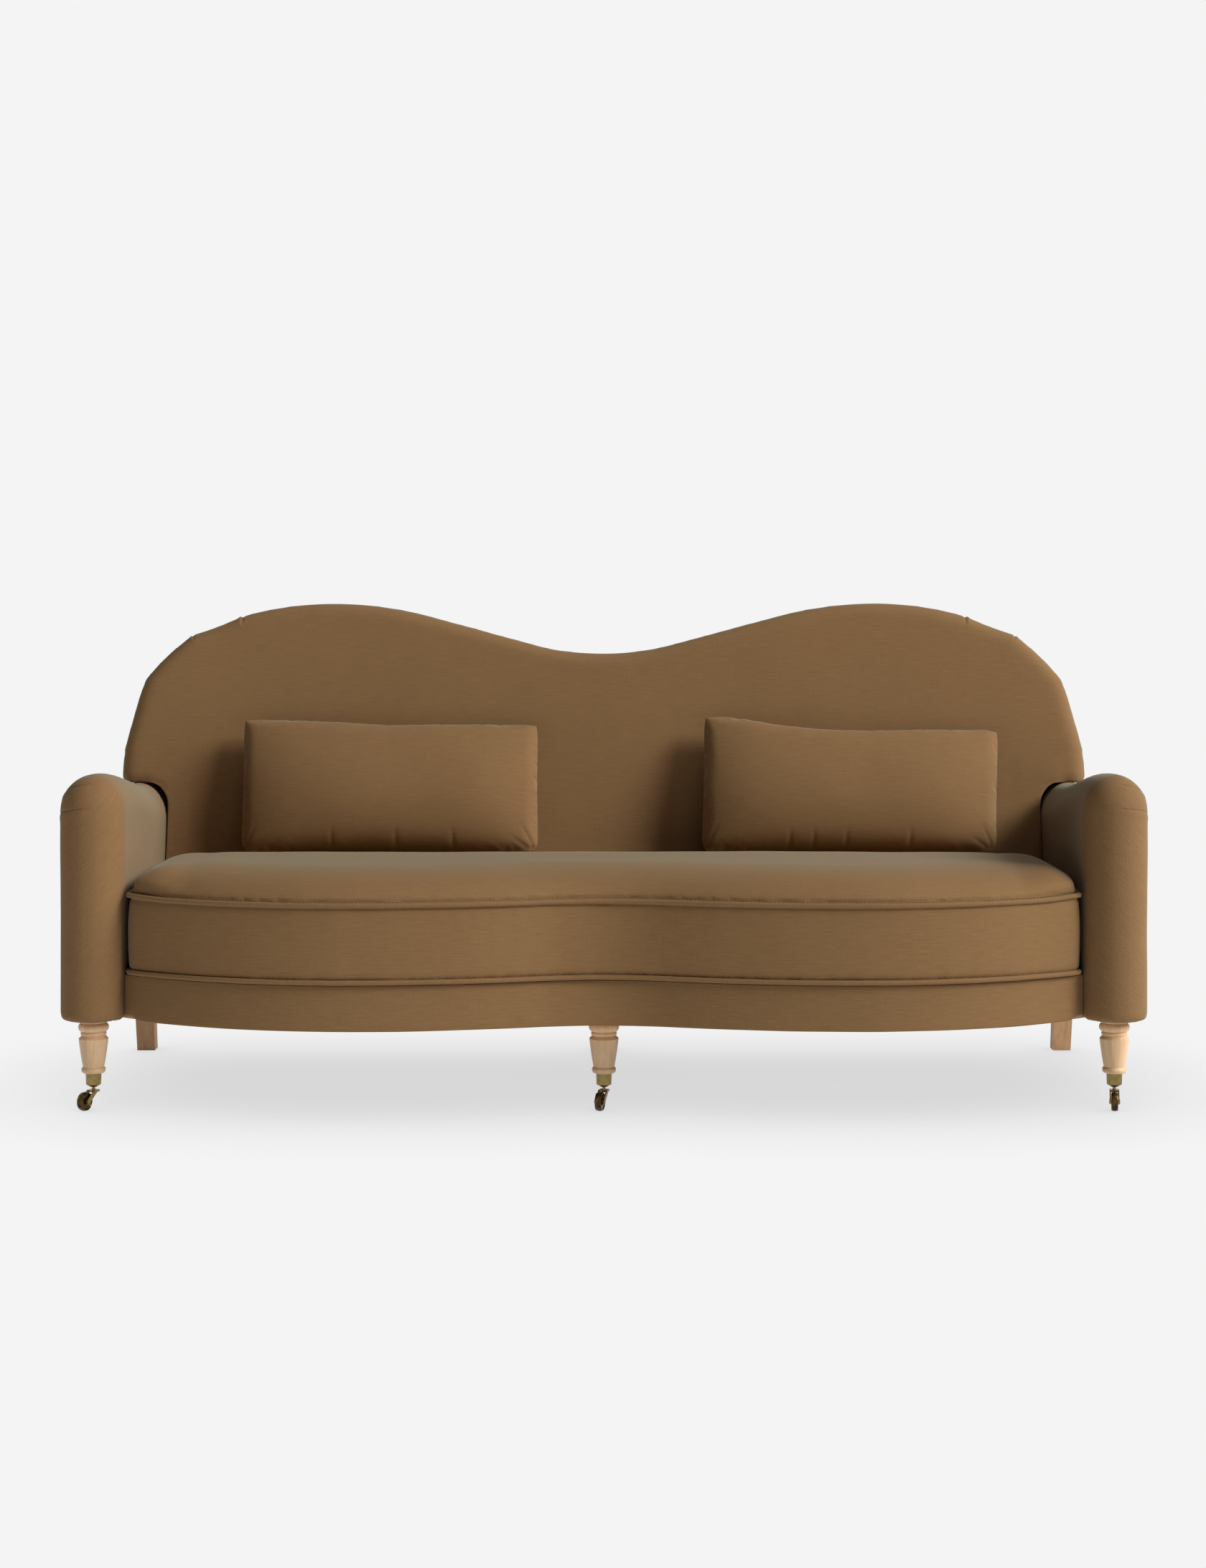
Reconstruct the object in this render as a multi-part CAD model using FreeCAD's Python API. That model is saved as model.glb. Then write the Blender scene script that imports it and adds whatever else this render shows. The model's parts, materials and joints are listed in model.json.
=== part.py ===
# A three-seat sofa with a double-humped back, a serpentine seat front, one long loose
# seat cushion, two loose lumbar pillows, turned front legs on casters and square,
# raked rear legs. Every piece is its own solid.
# The origin is on the floor under the middle of the sofa. X runs to the viewer's
# right, Y to the back and Z up. All sizes are in millimetres and degrees.
import FreeCAD, Part
import math
import os

from FreeCAD import Vector

# Frame, base and deck
UNDERSIDE_Z = 184.0            # underside of the base and of the arms
DECK_Z = 275.0                 # top of the deck, where the seat cushion rests
DECK_PAD_T = 12.0
RAIL_T = 45.0                  # front rail, front to back
REAR_RAIL_T = 40.0
CENTRE_RAIL_W = 80.0
BASE_SETBACK = 6.0             # base fabric behind the line of the welts
BASE_PAD_T = 6.0
SKIN_T = 2.0                   # upholstery fabric with its backing
DUST_COVER_T = 1.5
DUST_COVER_EDGE = 8.0          # bare margin between the dust cover and the legs
CORNER_BLOCK = 90.0
FRONT_CORNER_BLOCK = 180.0
JOIN_GAP = 0.3                 # base fabric to the arm's rounded nose

# Serpentine front line of the seat: a hollow in the middle and a swell on each side
FRONT_CENTRE_Y = -391.0
FRONT_SWELL_Y = -469.0
SWELL_X = 510.0
HOLLOW_R = 450.0
OUTER_SWELL_R = 747.0

# Seat cushion
CUSHION_SIDE_GAP = 10.0        # welt line to the inner face of each arm
CUSHION_REAR_Y = 172.0
CUSHION_SEAM_Z = 431.0         # height of the upper welt
CUSHION_CORNER_R = 30.0
WELT_R = 5.0
CROWN_RISE = 64.0
CROWN_REACH = 150.0            # the top is level this far in from its edge
CROWN_CORNER_GAIN = 30.0       # the crown's corners grow rounder by this much
CROWN_STEPS = ((0.0, 0.0), (0.04, 0.20), (0.12, 0.44), (0.27, 0.66), (0.5, 0.84),
               (0.74, 0.95), (1.0, 1.0))

# Arms
ARM_OUTER_X = 1100.0
ARM_W = 132.0
ARM_AXIS_Y = -289.0            # centre of the rounded arm front
ARM_FRONT_Z = 677.0
ARM_REAR_Z = 622.0
ARM_FALL_END_Y = 240.0         # the arm's top is level from here to the back
ARM_CROWN_R = 55.0
ARM_CROWN_FRONT_H = 72.0
ARM_CROWN_REAR_H = 83.0
ARM_STATIONS = 7
ARM_FRAME_W = 80.0
ARM_FRAME_FRONT = 36.0         # frame's front end ahead of the arm's axis
ARM_POST_D = 60.0
ARM_RAIL_H = 30.0
ARM_RAIL_TOP_Z = 590.0

# Back, drawn on a leaning plane: X across and W up the slope
BACK_RAKE = 16.0
BACK_REF_Y = 222.0             # front of the back at BACK_REF_Z
BACK_REF_Z = 600.0
BACK_LOW_Y = 182.0             # upright front of the back pad, behind the cushion
BACK_EDGE_R = 30.0
BACK_EDGE_STEPS = 4
BACK_SIDE_GAP = 3.0            # back pad to the inner face of each arm
DIP_W = 327.5
DIP_R = 580.0
HUMP_X = 617.0
HUMP_W = 445.5
HUMP_INNER_R = 820.0
HUMP_OUTER_R = 690.0
SHOULDER_X = 799.2
SHOULDER_R = 262.0
EAR_X = 1075.0
EAR_LIFT = 3.0                 # underside of the ears above the level part of the arms
EAR_STRAIGHT = 19.0            # straight side at the foot of each ear
EAR_TRIM = 60.0                # outline run on below the ears, cut level afterwards
EAR_FILL_X = 20.0              # from the arm's middle inwards the pad fills the hollow
EAR_FILL_DROP = 88.0           # over the arm's inner shoulder, this far down
EAR_FILL_LAP = 4.0
BACK_ARM_GAP = 2.0
OUTSIDE_Y = 394.8              # outside back at the underside of the base
OUTSIDE_RAKE = 5.6
OUTSIDE_PANEL_T = 8.0
BACK_BOARD_T = 30.0
CREST_RAIL_H = 70.0
CREST_INSET = 30.0
CREST_LOW_W = 60.0
UPRIGHT_W = 60.0
UPRIGHT_X = (320.0, 905.0)
LOWER_RAIL_Z = 300.0
LOWER_RAIL_H = 70.0
WEB_W = 50.0
WEB_T = 2.0
WEB_ROWS_Z = (420.0, 540.0, 660.0, 780.0)
WEB_COLUMNS_X = (-780.0, -620.0, -460.0, -160.0, 0.0, 160.0, 460.0, 620.0, 780.0)

# Seat springs
SPRING_X = (130.0, 340.0, 550.0, 760.0)
SPRING_WIRE_R = 1.9
SPRING_HALF_W = 26.0
SPRING_PITCH = 40.0
SPRING_DROP = 3.0              # wire centre below the top of the rails
CLIP_W = 30.0
CLIP_H = 9.0
CLIP_D = 12.0

# Pillows
PILLOW_H = 296.0
PILLOW_T = 138.0
PILLOW_LEAN = 22.0
PILLOW_SEAT_Z = 484.5          # bottom seam of a pillow on the falling crown
PILLOW_GAP = 0.5
PILLOW_SKIN_T = 2.5
PILLOW_WAIST = 6.0             # top and bottom edges drawn in between the corners
LEFT_PILLOW_X = (-786.0, -148.0)
RIGHT_PILLOW_X = (217.0, 860.0)
PILLOW_SECTIONS = ((0.0, 1.0), (0.5, 0.94), (0.76, 0.74), (0.91, 0.46), (1.0, 0.11))

# Legs
LEG_NECK_R = 26.4
LEG_NECK_Z = 174.0
LEG_BULB_R = 30.8
LEG_BULB_Z = 165.0
LEG_RING_R = 26.2
LEG_RING_Z = 152.0
LEG_RING_H = 8.0
LEG_GROOVE_R = 24.0
LEG_SHOULDER_R = 29.7
LEG_SHOULDER_Z = 142.0
LEG_BELLY_R = 26.4
LEG_BELLY_Z = 115.0
LEG_ANKLE_R = 21.3
LEG_ANKLE_Z = 84.5
LEG_FOOT_RING_R = 24.5
LEG_FOOT_Z = 72.5
LEG_TENON_R = 13.5
REAR_LEG_INSET = 56.0          # middle of the leg in from the outer face of the arm
REAR_LEG_TOP = 43.0
REAR_LEG_FOOT = 40.0
REAR_LEG_RAKE = 45.0           # foot behind the top of the leg
BOLT_R = 4.0
BOLT_IN_LEG = 34.0
INSERT_R = 6.0
INSERT_L = 28.0
INSERT_SINK = 2.0

# Casters
CUP_TOP_R = 16.1
CUP_FOOT_R = 15.1
CUP_CONE_Z = 49.0
CUP_TIP_R = 8.0
CUP_TIP_Z = 44.5
CUP_FLOOR_Z = 52.0
PIN_R = 3.5
PIN_TOP_Z = 62.0
PIN_HEAD_R = 4.3
PIN_HEAD_H = 1.5
PIN_PLAY = 1.0                 # pin head above the floor of the cup
PIN_POCKET_GAP = 2.0           # pocket in the leg above the pin
PIN_POCKET_R = 5.0
RUNNING_FIT = 0.05
WHEEL_R = 19.0
WHEEL_W = 13.0
WHEEL_RIM_R = 17.5
WHEEL_WEB_R = 15.0
WHEEL_HUB_R = 8.0
WHEEL_DISH = 1.5
CASTER_TRAIL = 30.0
AXLE_R = 2.5
AXLE_HEAD_R = 4.5
AXLE_HEAD_H = 1.2
YOKE_T = 2.5
YOKE_SIDE_GAP = 0.6
YOKE_TOP_Z = 38.0
YOKE_PLATE_T = 4.0
YOKE_TAIL = 8.0
YOKE_NOSE = 9.0
YOKE_EYE_R = 5.6
YOKE_EYE_TURN = 35.0           # where the cheek's edge meets its round eye
CASTER_TURN = {"left": 25.0, "centre": 15.5, "right": 9.5}

# Worked out from the sizes above
ARM_X = ARM_OUTER_X - ARM_W / 2
ARM_INNER_X = ARM_OUTER_X - ARM_W
ARM_FRAME_INNER_X = ARM_X - ARM_FRAME_W / 2
CUSHION_HALF_W = ARM_INNER_X - CUSHION_SIDE_GAP
BACK_HALF_W = ARM_INNER_X - BACK_SIDE_GAP
RAIL_TOP_Z = DECK_Z - DECK_PAD_T
RAIL_INSET = BASE_SETBACK + SKIN_T + BASE_PAD_T
EAR_W = (ARM_REAR_Z + EAR_LIFT - BACK_REF_Z) / math.cos(math.radians(BACK_RAKE))
LEG_X = {"left": -ARM_X, "centre": 0.0, "right": ARM_X}
REAR_LEG_X = ARM_OUTER_X - REAR_LEG_INSET
LEG_Y = ARM_AXIS_Y
REAR_X = {"left": -REAR_LEG_X, "centre": 0.0, "right": REAR_LEG_X}
SIDES = {"left": -1.0, "right": 1.0}
FRAME_REAR_Y = OUTSIDE_Y - OUTSIDE_PANEL_T / math.cos(math.radians(OUTSIDE_RAKE))
REAR_RAIL_Y = FRAME_REAR_Y - REAR_RAIL_T
REAR_LEG_Y = FRAME_REAR_Y - REAR_LEG_TOP / 2
FAR = 1600.0                   # a length past every edge of the sofa
UP = Vector(0, 0, 1)


def save(name, shape):
    shape.exportStep("parts/" + name + ".step")
    print(name, "solids", len(shape.Solids), "volume", round(shape.Volume), "valid", shape.isValid())


def box(x0, x1, y0, y1, z0, z1):
    return Part.makeBox(x1 - x0, y1 - y0, z1 - z0, Vector(x0, y0, z0))


def rod(radius, z0, z1, x, y):
    return Part.makeCylinder(radius, z1 - z0, Vector(x, y, z0))


def mirrored(shape):
    return shape.mirror(Vector(0, 0, 0), Vector(1, 0, 0))


def on_side(shape, side):
    """A shape drawn for the right-hand side, put on the named side."""
    return shape if side > 0 else mirrored(shape)


def arc_about(centre, start, end):
    """The short arc from start to end round centre."""
    radius = (start - centre).Length
    middle = (start - centre) + (end - centre)
    middle.normalize()
    return Part.Arc(start, centre + middle * radius, end).toShape()


def polygon_prism(points, direction):
    """A flat outline of straight lines, pushed along a direction."""
    wire = Part.makePolygon(points + [points[0]])
    return Part.Face(wire).extrude(direction)


def turned(profile_edges, x, y):
    """A half profile drawn at X = radius, turned about an upright axis at x, y."""
    face = Part.Face(Part.Wire(profile_edges))
    solid = face.revolve(Vector(0, 0, 0), UP, 360)
    return solid.translated(Vector(x, y, 0))


def profile(points):
    """Edges through (radius, height) points; a triple with a third value "arc" bends through it."""
    edges = []
    last = Vector(points[0][0], 0, points[0][1])
    through = None
    for point in points[1:] + points[:1]:
        here = Vector(point[0], 0, point[1])
        if len(point) == 3:
            through = here
            continue
        if through is None:
            edges.append(Part.makeLine(last, here))
        else:
            edges.append(Part.Arc(last, through, here).toShape())
        last = here
        through = None
    return edges


# Seat plan

def swell_radius():
    """Radius of the arc that joins the hollow to the swell without a corner."""
    drop = FRONT_SWELL_Y - FRONT_CENTRE_Y + HOLLOW_R
    return (SWELL_X ** 2 + drop ** 2 - HOLLOW_R ** 2) / (2 * (HOLLOW_R - drop))


def plan_wire(inset, half_w, rear_y, corner_r, z):
    """Closed outline of the seat, inset from its serpentine front line."""
    inner_r = swell_radius()
    hollow = Vector(0, FRONT_CENTRE_Y - HOLLOW_R, z)
    inner = Vector(SWELL_X, FRONT_SWELL_Y + inner_r, z)
    outer = Vector(SWELL_X, FRONT_SWELL_Y + OUTER_SWELL_R, z)
    outer_r = OUTER_SWELL_R - inset
    side_x = half_w - inset
    back_y = rear_y - inset
    join = hollow + (inner - hollow) * ((HOLLOW_R + inset) / (HOLLOW_R + inner_r))
    peak = Vector(SWELL_X, FRONT_SWELL_Y + inset, z)
    corner_x = side_x - corner_r
    corner_y = outer.y - math.sqrt((outer_r - corner_r) ** 2 - (corner_x - SWELL_X) ** 2)
    corner = Vector(corner_x, corner_y, z)
    corner_start = outer + (corner - outer) * (outer_r / (outer_r - corner_r))
    corner_end = Vector(side_x, corner_y, z)
    rear_corner = Vector(corner_x, back_y - corner_r, z)
    rear_start = Vector(side_x, rear_corner.y, z)
    rear_end = Vector(corner_x, back_y, z)
    half = [arc_about(inner, join, peak), arc_about(outer, peak, corner_start),
            arc_about(corner, corner_start, corner_end), Part.makeLine(corner_end, rear_start),
            arc_about(rear_corner, rear_start, rear_end)]
    other = [mirrored(edge) for edge in reversed(half)]
    middle = arc_about(hollow, Vector(-join.x, join.y, z), join)
    rear = Part.makeLine(rear_end, Vector(-rear_end.x, rear_end.y, z))
    return Part.Wire([middle] + half + [rear] + other)


def plan_prism(inset, half_w, rear_y, corner_r, z0, z1):
    return Part.Face(plan_wire(inset, half_w, rear_y, corner_r, z0)).extrude(UP * (z1 - z0))


def base_prism(inset, z0, z1):
    """The seat plan run out past the arms, for pieces that follow the front line."""
    return plan_prism(inset, ARM_OUTER_X + inset, REAR_RAIL_Y + inset, CUSHION_CORNER_R, z0, z1)


def front_line_y(x, inset):
    """Where the front line, inset, crosses a given X."""
    across = abs(x)
    inner_r = swell_radius()
    join_x = SWELL_X * (HOLLOW_R + inset) / (HOLLOW_R + inner_r)
    if across < join_x:
        return FRONT_CENTRE_Y - HOLLOW_R + math.sqrt((HOLLOW_R + inset) ** 2 - across ** 2)
    radius = inner_r if across < SWELL_X else OUTER_SWELL_R
    return FRONT_SWELL_Y + radius - math.sqrt((radius - inset) ** 2 - (across - SWELL_X) ** 2)


# Planes of the back

def outside_y(z, forward):
    """Y of the outside back plane at a height, moved forward."""
    rake = math.radians(OUTSIDE_RAKE)
    return OUTSIDE_Y + (z - UNDERSIDE_Z) * math.tan(rake) - forward / math.cos(rake)


def behind(forward):
    """Everything behind the outside back plane, moved forward."""
    low = outside_y(-FAR, forward)
    high = outside_y(FAR, forward)
    points = [Vector(-FAR, low, -FAR), Vector(-FAR, high, FAR), Vector(-FAR, FAR, FAR),
              Vector(-FAR, FAR, -FAR)]
    return polygon_prism(points, Vector(2 * FAR, 0, 0))


def slab(forward0, forward1):
    """The layer between two planes parallel to the outside back."""
    return behind(forward1).cut(behind(forward0))


def front_y(z, depth):
    """Y of the back's front plane at a height, moved in behind it by a depth."""
    rake = math.radians(BACK_RAKE)
    return BACK_REF_Y + (z - BACK_REF_Z) * math.tan(rake) + depth / math.cos(rake)


def on_slope(x, w, depth):
    """A point of the back: across, up the slope and in behind its front plane."""
    rake = math.radians(BACK_RAKE)
    return Vector(x, BACK_REF_Y + w * math.sin(rake) + depth * math.cos(rake),
                  BACK_REF_Z + w * math.cos(rake) - depth * math.sin(rake))


def back_wire(edge, inset, depth):
    """Outline of the back down past its ears; edge draws in its rim and inset all of it."""
    draw = edge + inset
    dip = Vector(0, DIP_W + DIP_R, 0)
    hump = Vector(HUMP_X, HUMP_W - HUMP_INNER_R, 0)
    span = hump - dip
    slope = math.atan2(span.x, -span.y) - math.acos((DIP_R + HUMP_INNER_R) / span.Length)
    rise = Vector(-math.sin(slope), math.cos(slope), 0)
    dip_end = dip - rise * (DIP_R + draw)
    hump_start = hump + rise * (HUMP_INNER_R - draw)
    peak = Vector(HUMP_X, HUMP_W - draw, 0)
    outer = Vector(HUMP_X, HUMP_W - HUMP_OUTER_R, 0)
    turn = math.asin((SHOULDER_X - HUMP_X) / (HUMP_OUTER_R - SHOULDER_R))
    out = Vector(math.sin(turn), math.cos(turn), 0)
    outer_end = outer + out * (HUMP_OUTER_R - draw)
    shoulder = outer + out * (HUMP_OUTER_R - SHOULDER_R)
    side = EAR_X - shoulder.x - SHOULDER_R
    drop = shoulder.y - EAR_W - EAR_STRAIGHT
    turn = 2 * math.atan2(drop, side) - math.pi / 2
    out = Vector(math.sin(turn), math.cos(turn), 0)
    shoulder_end = shoulder + out * (SHOULDER_R - draw)
    ear = shoulder - out * (side / (1 - out.x))
    ear_end = Vector(EAR_X - draw, ear.y, 0)
    foot = Vector(ear_end.x, EAR_W - EAR_TRIM, 0)
    half = [Part.makeLine(dip_end, hump_start), arc_about(hump, hump_start, peak),
            arc_about(outer, peak, outer_end), arc_about(shoulder, outer_end, shoulder_end),
            arc_about(ear, shoulder_end, ear_end), Part.makeLine(ear_end, foot)]
    other = [mirrored(piece) for piece in reversed(half)]
    middle = arc_about(dip, Vector(-dip_end.x, dip_end.y, 0), dip_end)
    base = Part.makeLine(foot, Vector(-foot.x, foot.y, 0))
    wire = Part.Wire([middle] + half + [base] + other)
    wire.rotate(Vector(0, 0, 0), Vector(1, 0, 0), 90 - BACK_RAKE)
    wire.translate(on_slope(0, 0, depth))
    return wire


def back_prism(edge, inset, depth0, depth1):
    """The back's outline pushed straight in along the normal of its front plane."""
    return Part.Face(back_wire(edge, inset, depth0)).extrude(on_slope(0, 0, depth1) - on_slope(0, 0, depth0))


def shoulder_fill(side, inset):
    """The pad's wedge between the back's side and the arm's rounded inner shoulder."""
    x0 = side * (BACK_HALF_W - inset - EAR_FILL_LAP)
    x1 = side * (ARM_X - EAR_FILL_X - inset)
    low = ARM_REAR_Z - EAR_FILL_DROP
    high = ARM_REAR_Z + EAR_LIFT + inset + EAR_FILL_LAP
    depth = BACK_EDGE_R + inset
    points = [Vector(x0, front_y(low, depth), low), Vector(x0, front_y(high, depth), high),
              Vector(x0, FAR, high), Vector(x0, FAR, low)]
    return polygon_prism(points, Vector(x1 - x0, 0, 0)).cut(arm_form(side, -BACK_ARM_GAP - inset))


def back_form(inset, forward):
    """The upholstered back, up to a plane forward of the outside back."""
    rims = []
    for step in range(BACK_EDGE_STEPS + 1):
        turn = math.radians(90 * step / BACK_EDGE_STEPS)
        rims.append(back_wire(BACK_EDGE_R * (1 - math.sin(turn)), inset,
                              inset + BACK_EDGE_R * (1 - math.cos(turn))))
    rim = Part.makeLoft(rims, True, False)
    upper = rim.fuse(back_prism(0, inset, inset + BACK_EDGE_R, FRAME_REAR_Y))
    waist = ARM_REAR_Z + EAR_LIFT + inset
    upper = upper.common(box(-FAR, FAR, 0, FAR, waist, FAR))
    low_y = BACK_LOW_Y + inset
    bend = BACK_REF_Z + (low_y - front_y(BACK_REF_Z, inset)) / math.tan(math.radians(BACK_RAKE))
    half_w = BACK_HALF_W - inset
    points = [Vector(-half_w, low_y, DECK_Z), Vector(-half_w, low_y, bend),
              Vector(-half_w, front_y(waist, inset), waist), Vector(-half_w, FAR, waist),
              Vector(-half_w, FAR, DECK_Z)]
    form = upper.fuse(polygon_prism(points, Vector(2 * half_w, 0, 0)))
    for side in SIDES.values():
        form = form.fuse(shoulder_fill(side, inset))
    return form.cut(behind(forward))


# Arms

def arm_ease(y):
    """1 at the arm's front and 0 where its top runs level, with a smooth fall between."""
    travel = (y - ARM_AXIS_Y) / (ARM_FALL_END_Y - ARM_AXIS_Y)
    return 0.5 + 0.5 * math.cos(math.pi * min(max(travel, 0.0), 1.0))


def arm_profile(ease, inset):
    """Points of the arm's half section: shoulder, where the arcs meet, and crown; and the arc centres."""
    top = ARM_REAR_Z + (ARM_FRONT_Z - ARM_REAR_Z) * ease
    height = ARM_CROWN_REAR_H + (ARM_CROWN_FRONT_H - ARM_CROWN_REAR_H) * ease
    half = ARM_W / 2
    side_r = (half ** 2 + (height - ARM_CROWN_R) ** 2 - ARM_CROWN_R ** 2) / (2 * (half - ARM_CROWN_R))
    side = Vector(half - side_r, 0, top - height)
    crown = Vector(0, 0, top - ARM_CROWN_R)
    out = crown - side
    out.normalize()
    return {"side": side, "crown": crown, "shoulder": side + Vector(side_r - inset, 0, 0),
            "join": side + out * (side_r - inset), "top": crown + UP * (ARM_CROWN_R - inset)}


def arm_section(y, inset):
    """Closed cross-section of the arm at Y, centred on X = 0."""
    p = arm_profile(arm_ease(y), inset)
    foot = Vector(p["shoulder"].x, 0, UNDERSIDE_Z)
    half = [Part.makeLine(foot, p["shoulder"]), arc_about(p["side"], p["shoulder"], p["join"])]
    other = [mirrored(edge) for edge in reversed(half)]
    crown = arc_about(p["crown"], p["join"], Vector(-p["join"].x, 0, p["join"].z))
    base = Part.makeLine(Vector(-foot.x, 0, foot.z), foot)
    wire = Part.Wire([base] + half + [crown] + other)
    wire.translate(Vector(0, y, 0))
    return wire


def arm_form(side, inset):
    """One arm: a lofted run to the back and a turned, half-round front."""
    stations = [ARM_AXIS_Y + (ARM_FALL_END_Y - ARM_AXIS_Y) * i / (ARM_STATIONS - 1)
                for i in range(ARM_STATIONS)]
    wires = [arm_section(y, inset) for y in stations]
    run = Part.makeLoft(wires, True, False)
    rear = Part.Face(wires[-1]).extrude(Vector(0, FAR - ARM_FALL_END_Y, 0))
    p = arm_profile(1.0, inset)
    foot = Vector(p["shoulder"].x, 0, UNDERSIDE_Z)
    axis_foot = Vector(0, 0, UNDERSIDE_Z)
    edges = [Part.makeLine(axis_foot, foot), Part.makeLine(foot, p["shoulder"]),
             arc_about(p["side"], p["shoulder"], p["join"]), arc_about(p["crown"], p["join"], p["top"]),
             Part.makeLine(p["top"], axis_foot)]
    nose = Part.Face(Part.Wire(edges)).revolve(Vector(0, 0, 0), UP, -180)
    nose.translate(Vector(0, ARM_AXIS_Y, 0))
    form = run.fuse(nose).fuse(rear)
    return form.translated(Vector(side * ARM_X, 0, 0))


def arm_frame_box(y0, y1, z0, z1):
    return box(ARM_FRAME_INNER_X, ARM_FRAME_INNER_X + ARM_FRAME_W, y0, y1, z0, z1)


def make_arm_frame(bores):
    """Side rails, posts and arm rails inside the arms."""
    front_y = ARM_AXIS_Y - ARM_FRAME_FRONT
    rear_posts = []
    for name, side in SIDES.items():
        side_rail = on_side(arm_frame_box(front_y, FRAME_REAR_Y, UNDERSIDE_Z, RAIL_TOP_Z), side)
        post = arm_frame_box(front_y, front_y + ARM_POST_D, RAIL_TOP_Z, ARM_RAIL_TOP_Z - ARM_RAIL_H)
        rear = arm_frame_box(FRAME_REAR_Y - ARM_POST_D, FRAME_REAR_Y, RAIL_TOP_Z, ARM_RAIL_TOP_Z - ARM_RAIL_H)
        rail = arm_frame_box(front_y, FRAME_REAR_Y, ARM_RAIL_TOP_Z - ARM_RAIL_H, ARM_RAIL_TOP_Z)
        rear_posts.append(on_side(rear, side))
        save(name + "_side_rail", side_rail.cut(bores))
        save(name + "_arm_post", on_side(post, side))
        save(name + "_arm_rail", on_side(rail, side))
    save("arm_rear_posts", Part.makeCompound(rear_posts))


def make_arm_upholstery(rails):
    for name, side in SIDES.items():
        outer = arm_form(side, 0).cut(behind(OUTSIDE_PANEL_T)).cut(rails)
        inner = arm_form(side, SKIN_T).cut(behind(OUTSIDE_PANEL_T)).cut(rails)
        save(name + "_arm_cover", outer.cut(inner))
        front_y = ARM_AXIS_Y - ARM_FRAME_FRONT
        cavity = on_side(arm_frame_box(front_y, FRAME_REAR_Y, UNDERSIDE_Z, ARM_RAIL_TOP_Z), side)
        save(name + "_arm_padding", inner.cut(cavity))


# Base, rails and deck

def make_front_rail():
    rail = base_prism(RAIL_INSET, UNDERSIDE_Z, RAIL_TOP_Z)
    rail = rail.cut(base_prism(RAIL_INSET + RAIL_T, UNDERSIDE_Z, RAIL_TOP_Z))
    return rail.common(box(-ARM_FRAME_INNER_X, ARM_FRAME_INNER_X, -FAR, 0, UNDERSIDE_Z, RAIL_TOP_Z))


def leg_places():
    """Name, X and Y of every leg's bolt."""
    front = [(name + "_front", x, LEG_Y) for name, x in LEG_X.items()]
    return front + [(name + "_rear", x, REAR_LEG_Y) for name, x in REAR_X.items()]


def make_leg_fixings():
    """Threaded inserts and their bolts; returns the holes in the rails that take them."""
    bores = []
    inserts = []
    bolts = []
    for _, x, y in leg_places():
        start = UNDERSIDE_Z + INSERT_SINK
        end = start + INSERT_L
        bores.append(rod(INSERT_R, UNDERSIDE_Z, end, x, y))
        inserts.append(rod(INSERT_R, start, end, x, y).cut(rod(BOLT_R, start, end, x, y)))
        bolts.append(rod(BOLT_R, UNDERSIDE_Z - BOLT_IN_LEG, end - INSERT_SINK, x, y))
    save("leg_threaded_inserts", Part.makeCompound(inserts))
    save("leg_bolts", Part.makeCompound(bolts))
    return Part.makeCompound(bores)


def make_base_rails(bores):
    """Front, rear and centre rails and the corner blocks; returns those that pass into the arms."""
    x = ARM_FRAME_INNER_X
    front_rail = make_front_rail()
    save("front_rail", front_rail)
    rear_rail = box(-x, x, REAR_RAIL_Y, FRAME_REAR_Y, UNDERSIDE_Z, RAIL_TOP_Z)
    save("rear_rail", rear_rail.cut(bores))
    half = CENTRE_RAIL_W / 2
    centre = box(-half, half, FRONT_CENTRE_Y, REAR_RAIL_Y, UNDERSIDE_Z, RAIL_TOP_Z)
    centre = centre.cut(base_prism(0, UNDERSIDE_Z, RAIL_TOP_Z).cut(
        base_prism(RAIL_INSET + RAIL_T, UNDERSIDE_Z, RAIL_TOP_Z)))
    save("centre_rail", centre.cut(bores))
    size = CORNER_BLOCK
    front_size = FRONT_CORNER_BLOCK
    blocks = []
    front_y = front_line_y(x, RAIL_INSET)
    for side in SIDES.values():
        rear = polygon_prism([Vector(x, REAR_RAIL_Y, UNDERSIDE_Z), Vector(x - size, REAR_RAIL_Y, UNDERSIDE_Z),
                              Vector(x, REAR_RAIL_Y - size, UNDERSIDE_Z)], UP * (RAIL_TOP_Z - UNDERSIDE_Z))
        front = polygon_prism([Vector(x, front_y, UNDERSIDE_Z), Vector(x - front_size, front_y, UNDERSIDE_Z),
                               Vector(x, front_y + front_size, UNDERSIDE_Z)], UP * (RAIL_TOP_Z - UNDERSIDE_Z))
        inside = base_prism(RAIL_INSET + RAIL_T, UNDERSIDE_Z, RAIL_TOP_Z)
        blocks.append(on_side(rear, side))
        blocks.append(on_side(front.common(inside), side))
    save("corner_blocks", Part.makeCompound(blocks))
    return front_rail.multiFuse([rear_rail] + blocks)


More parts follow.
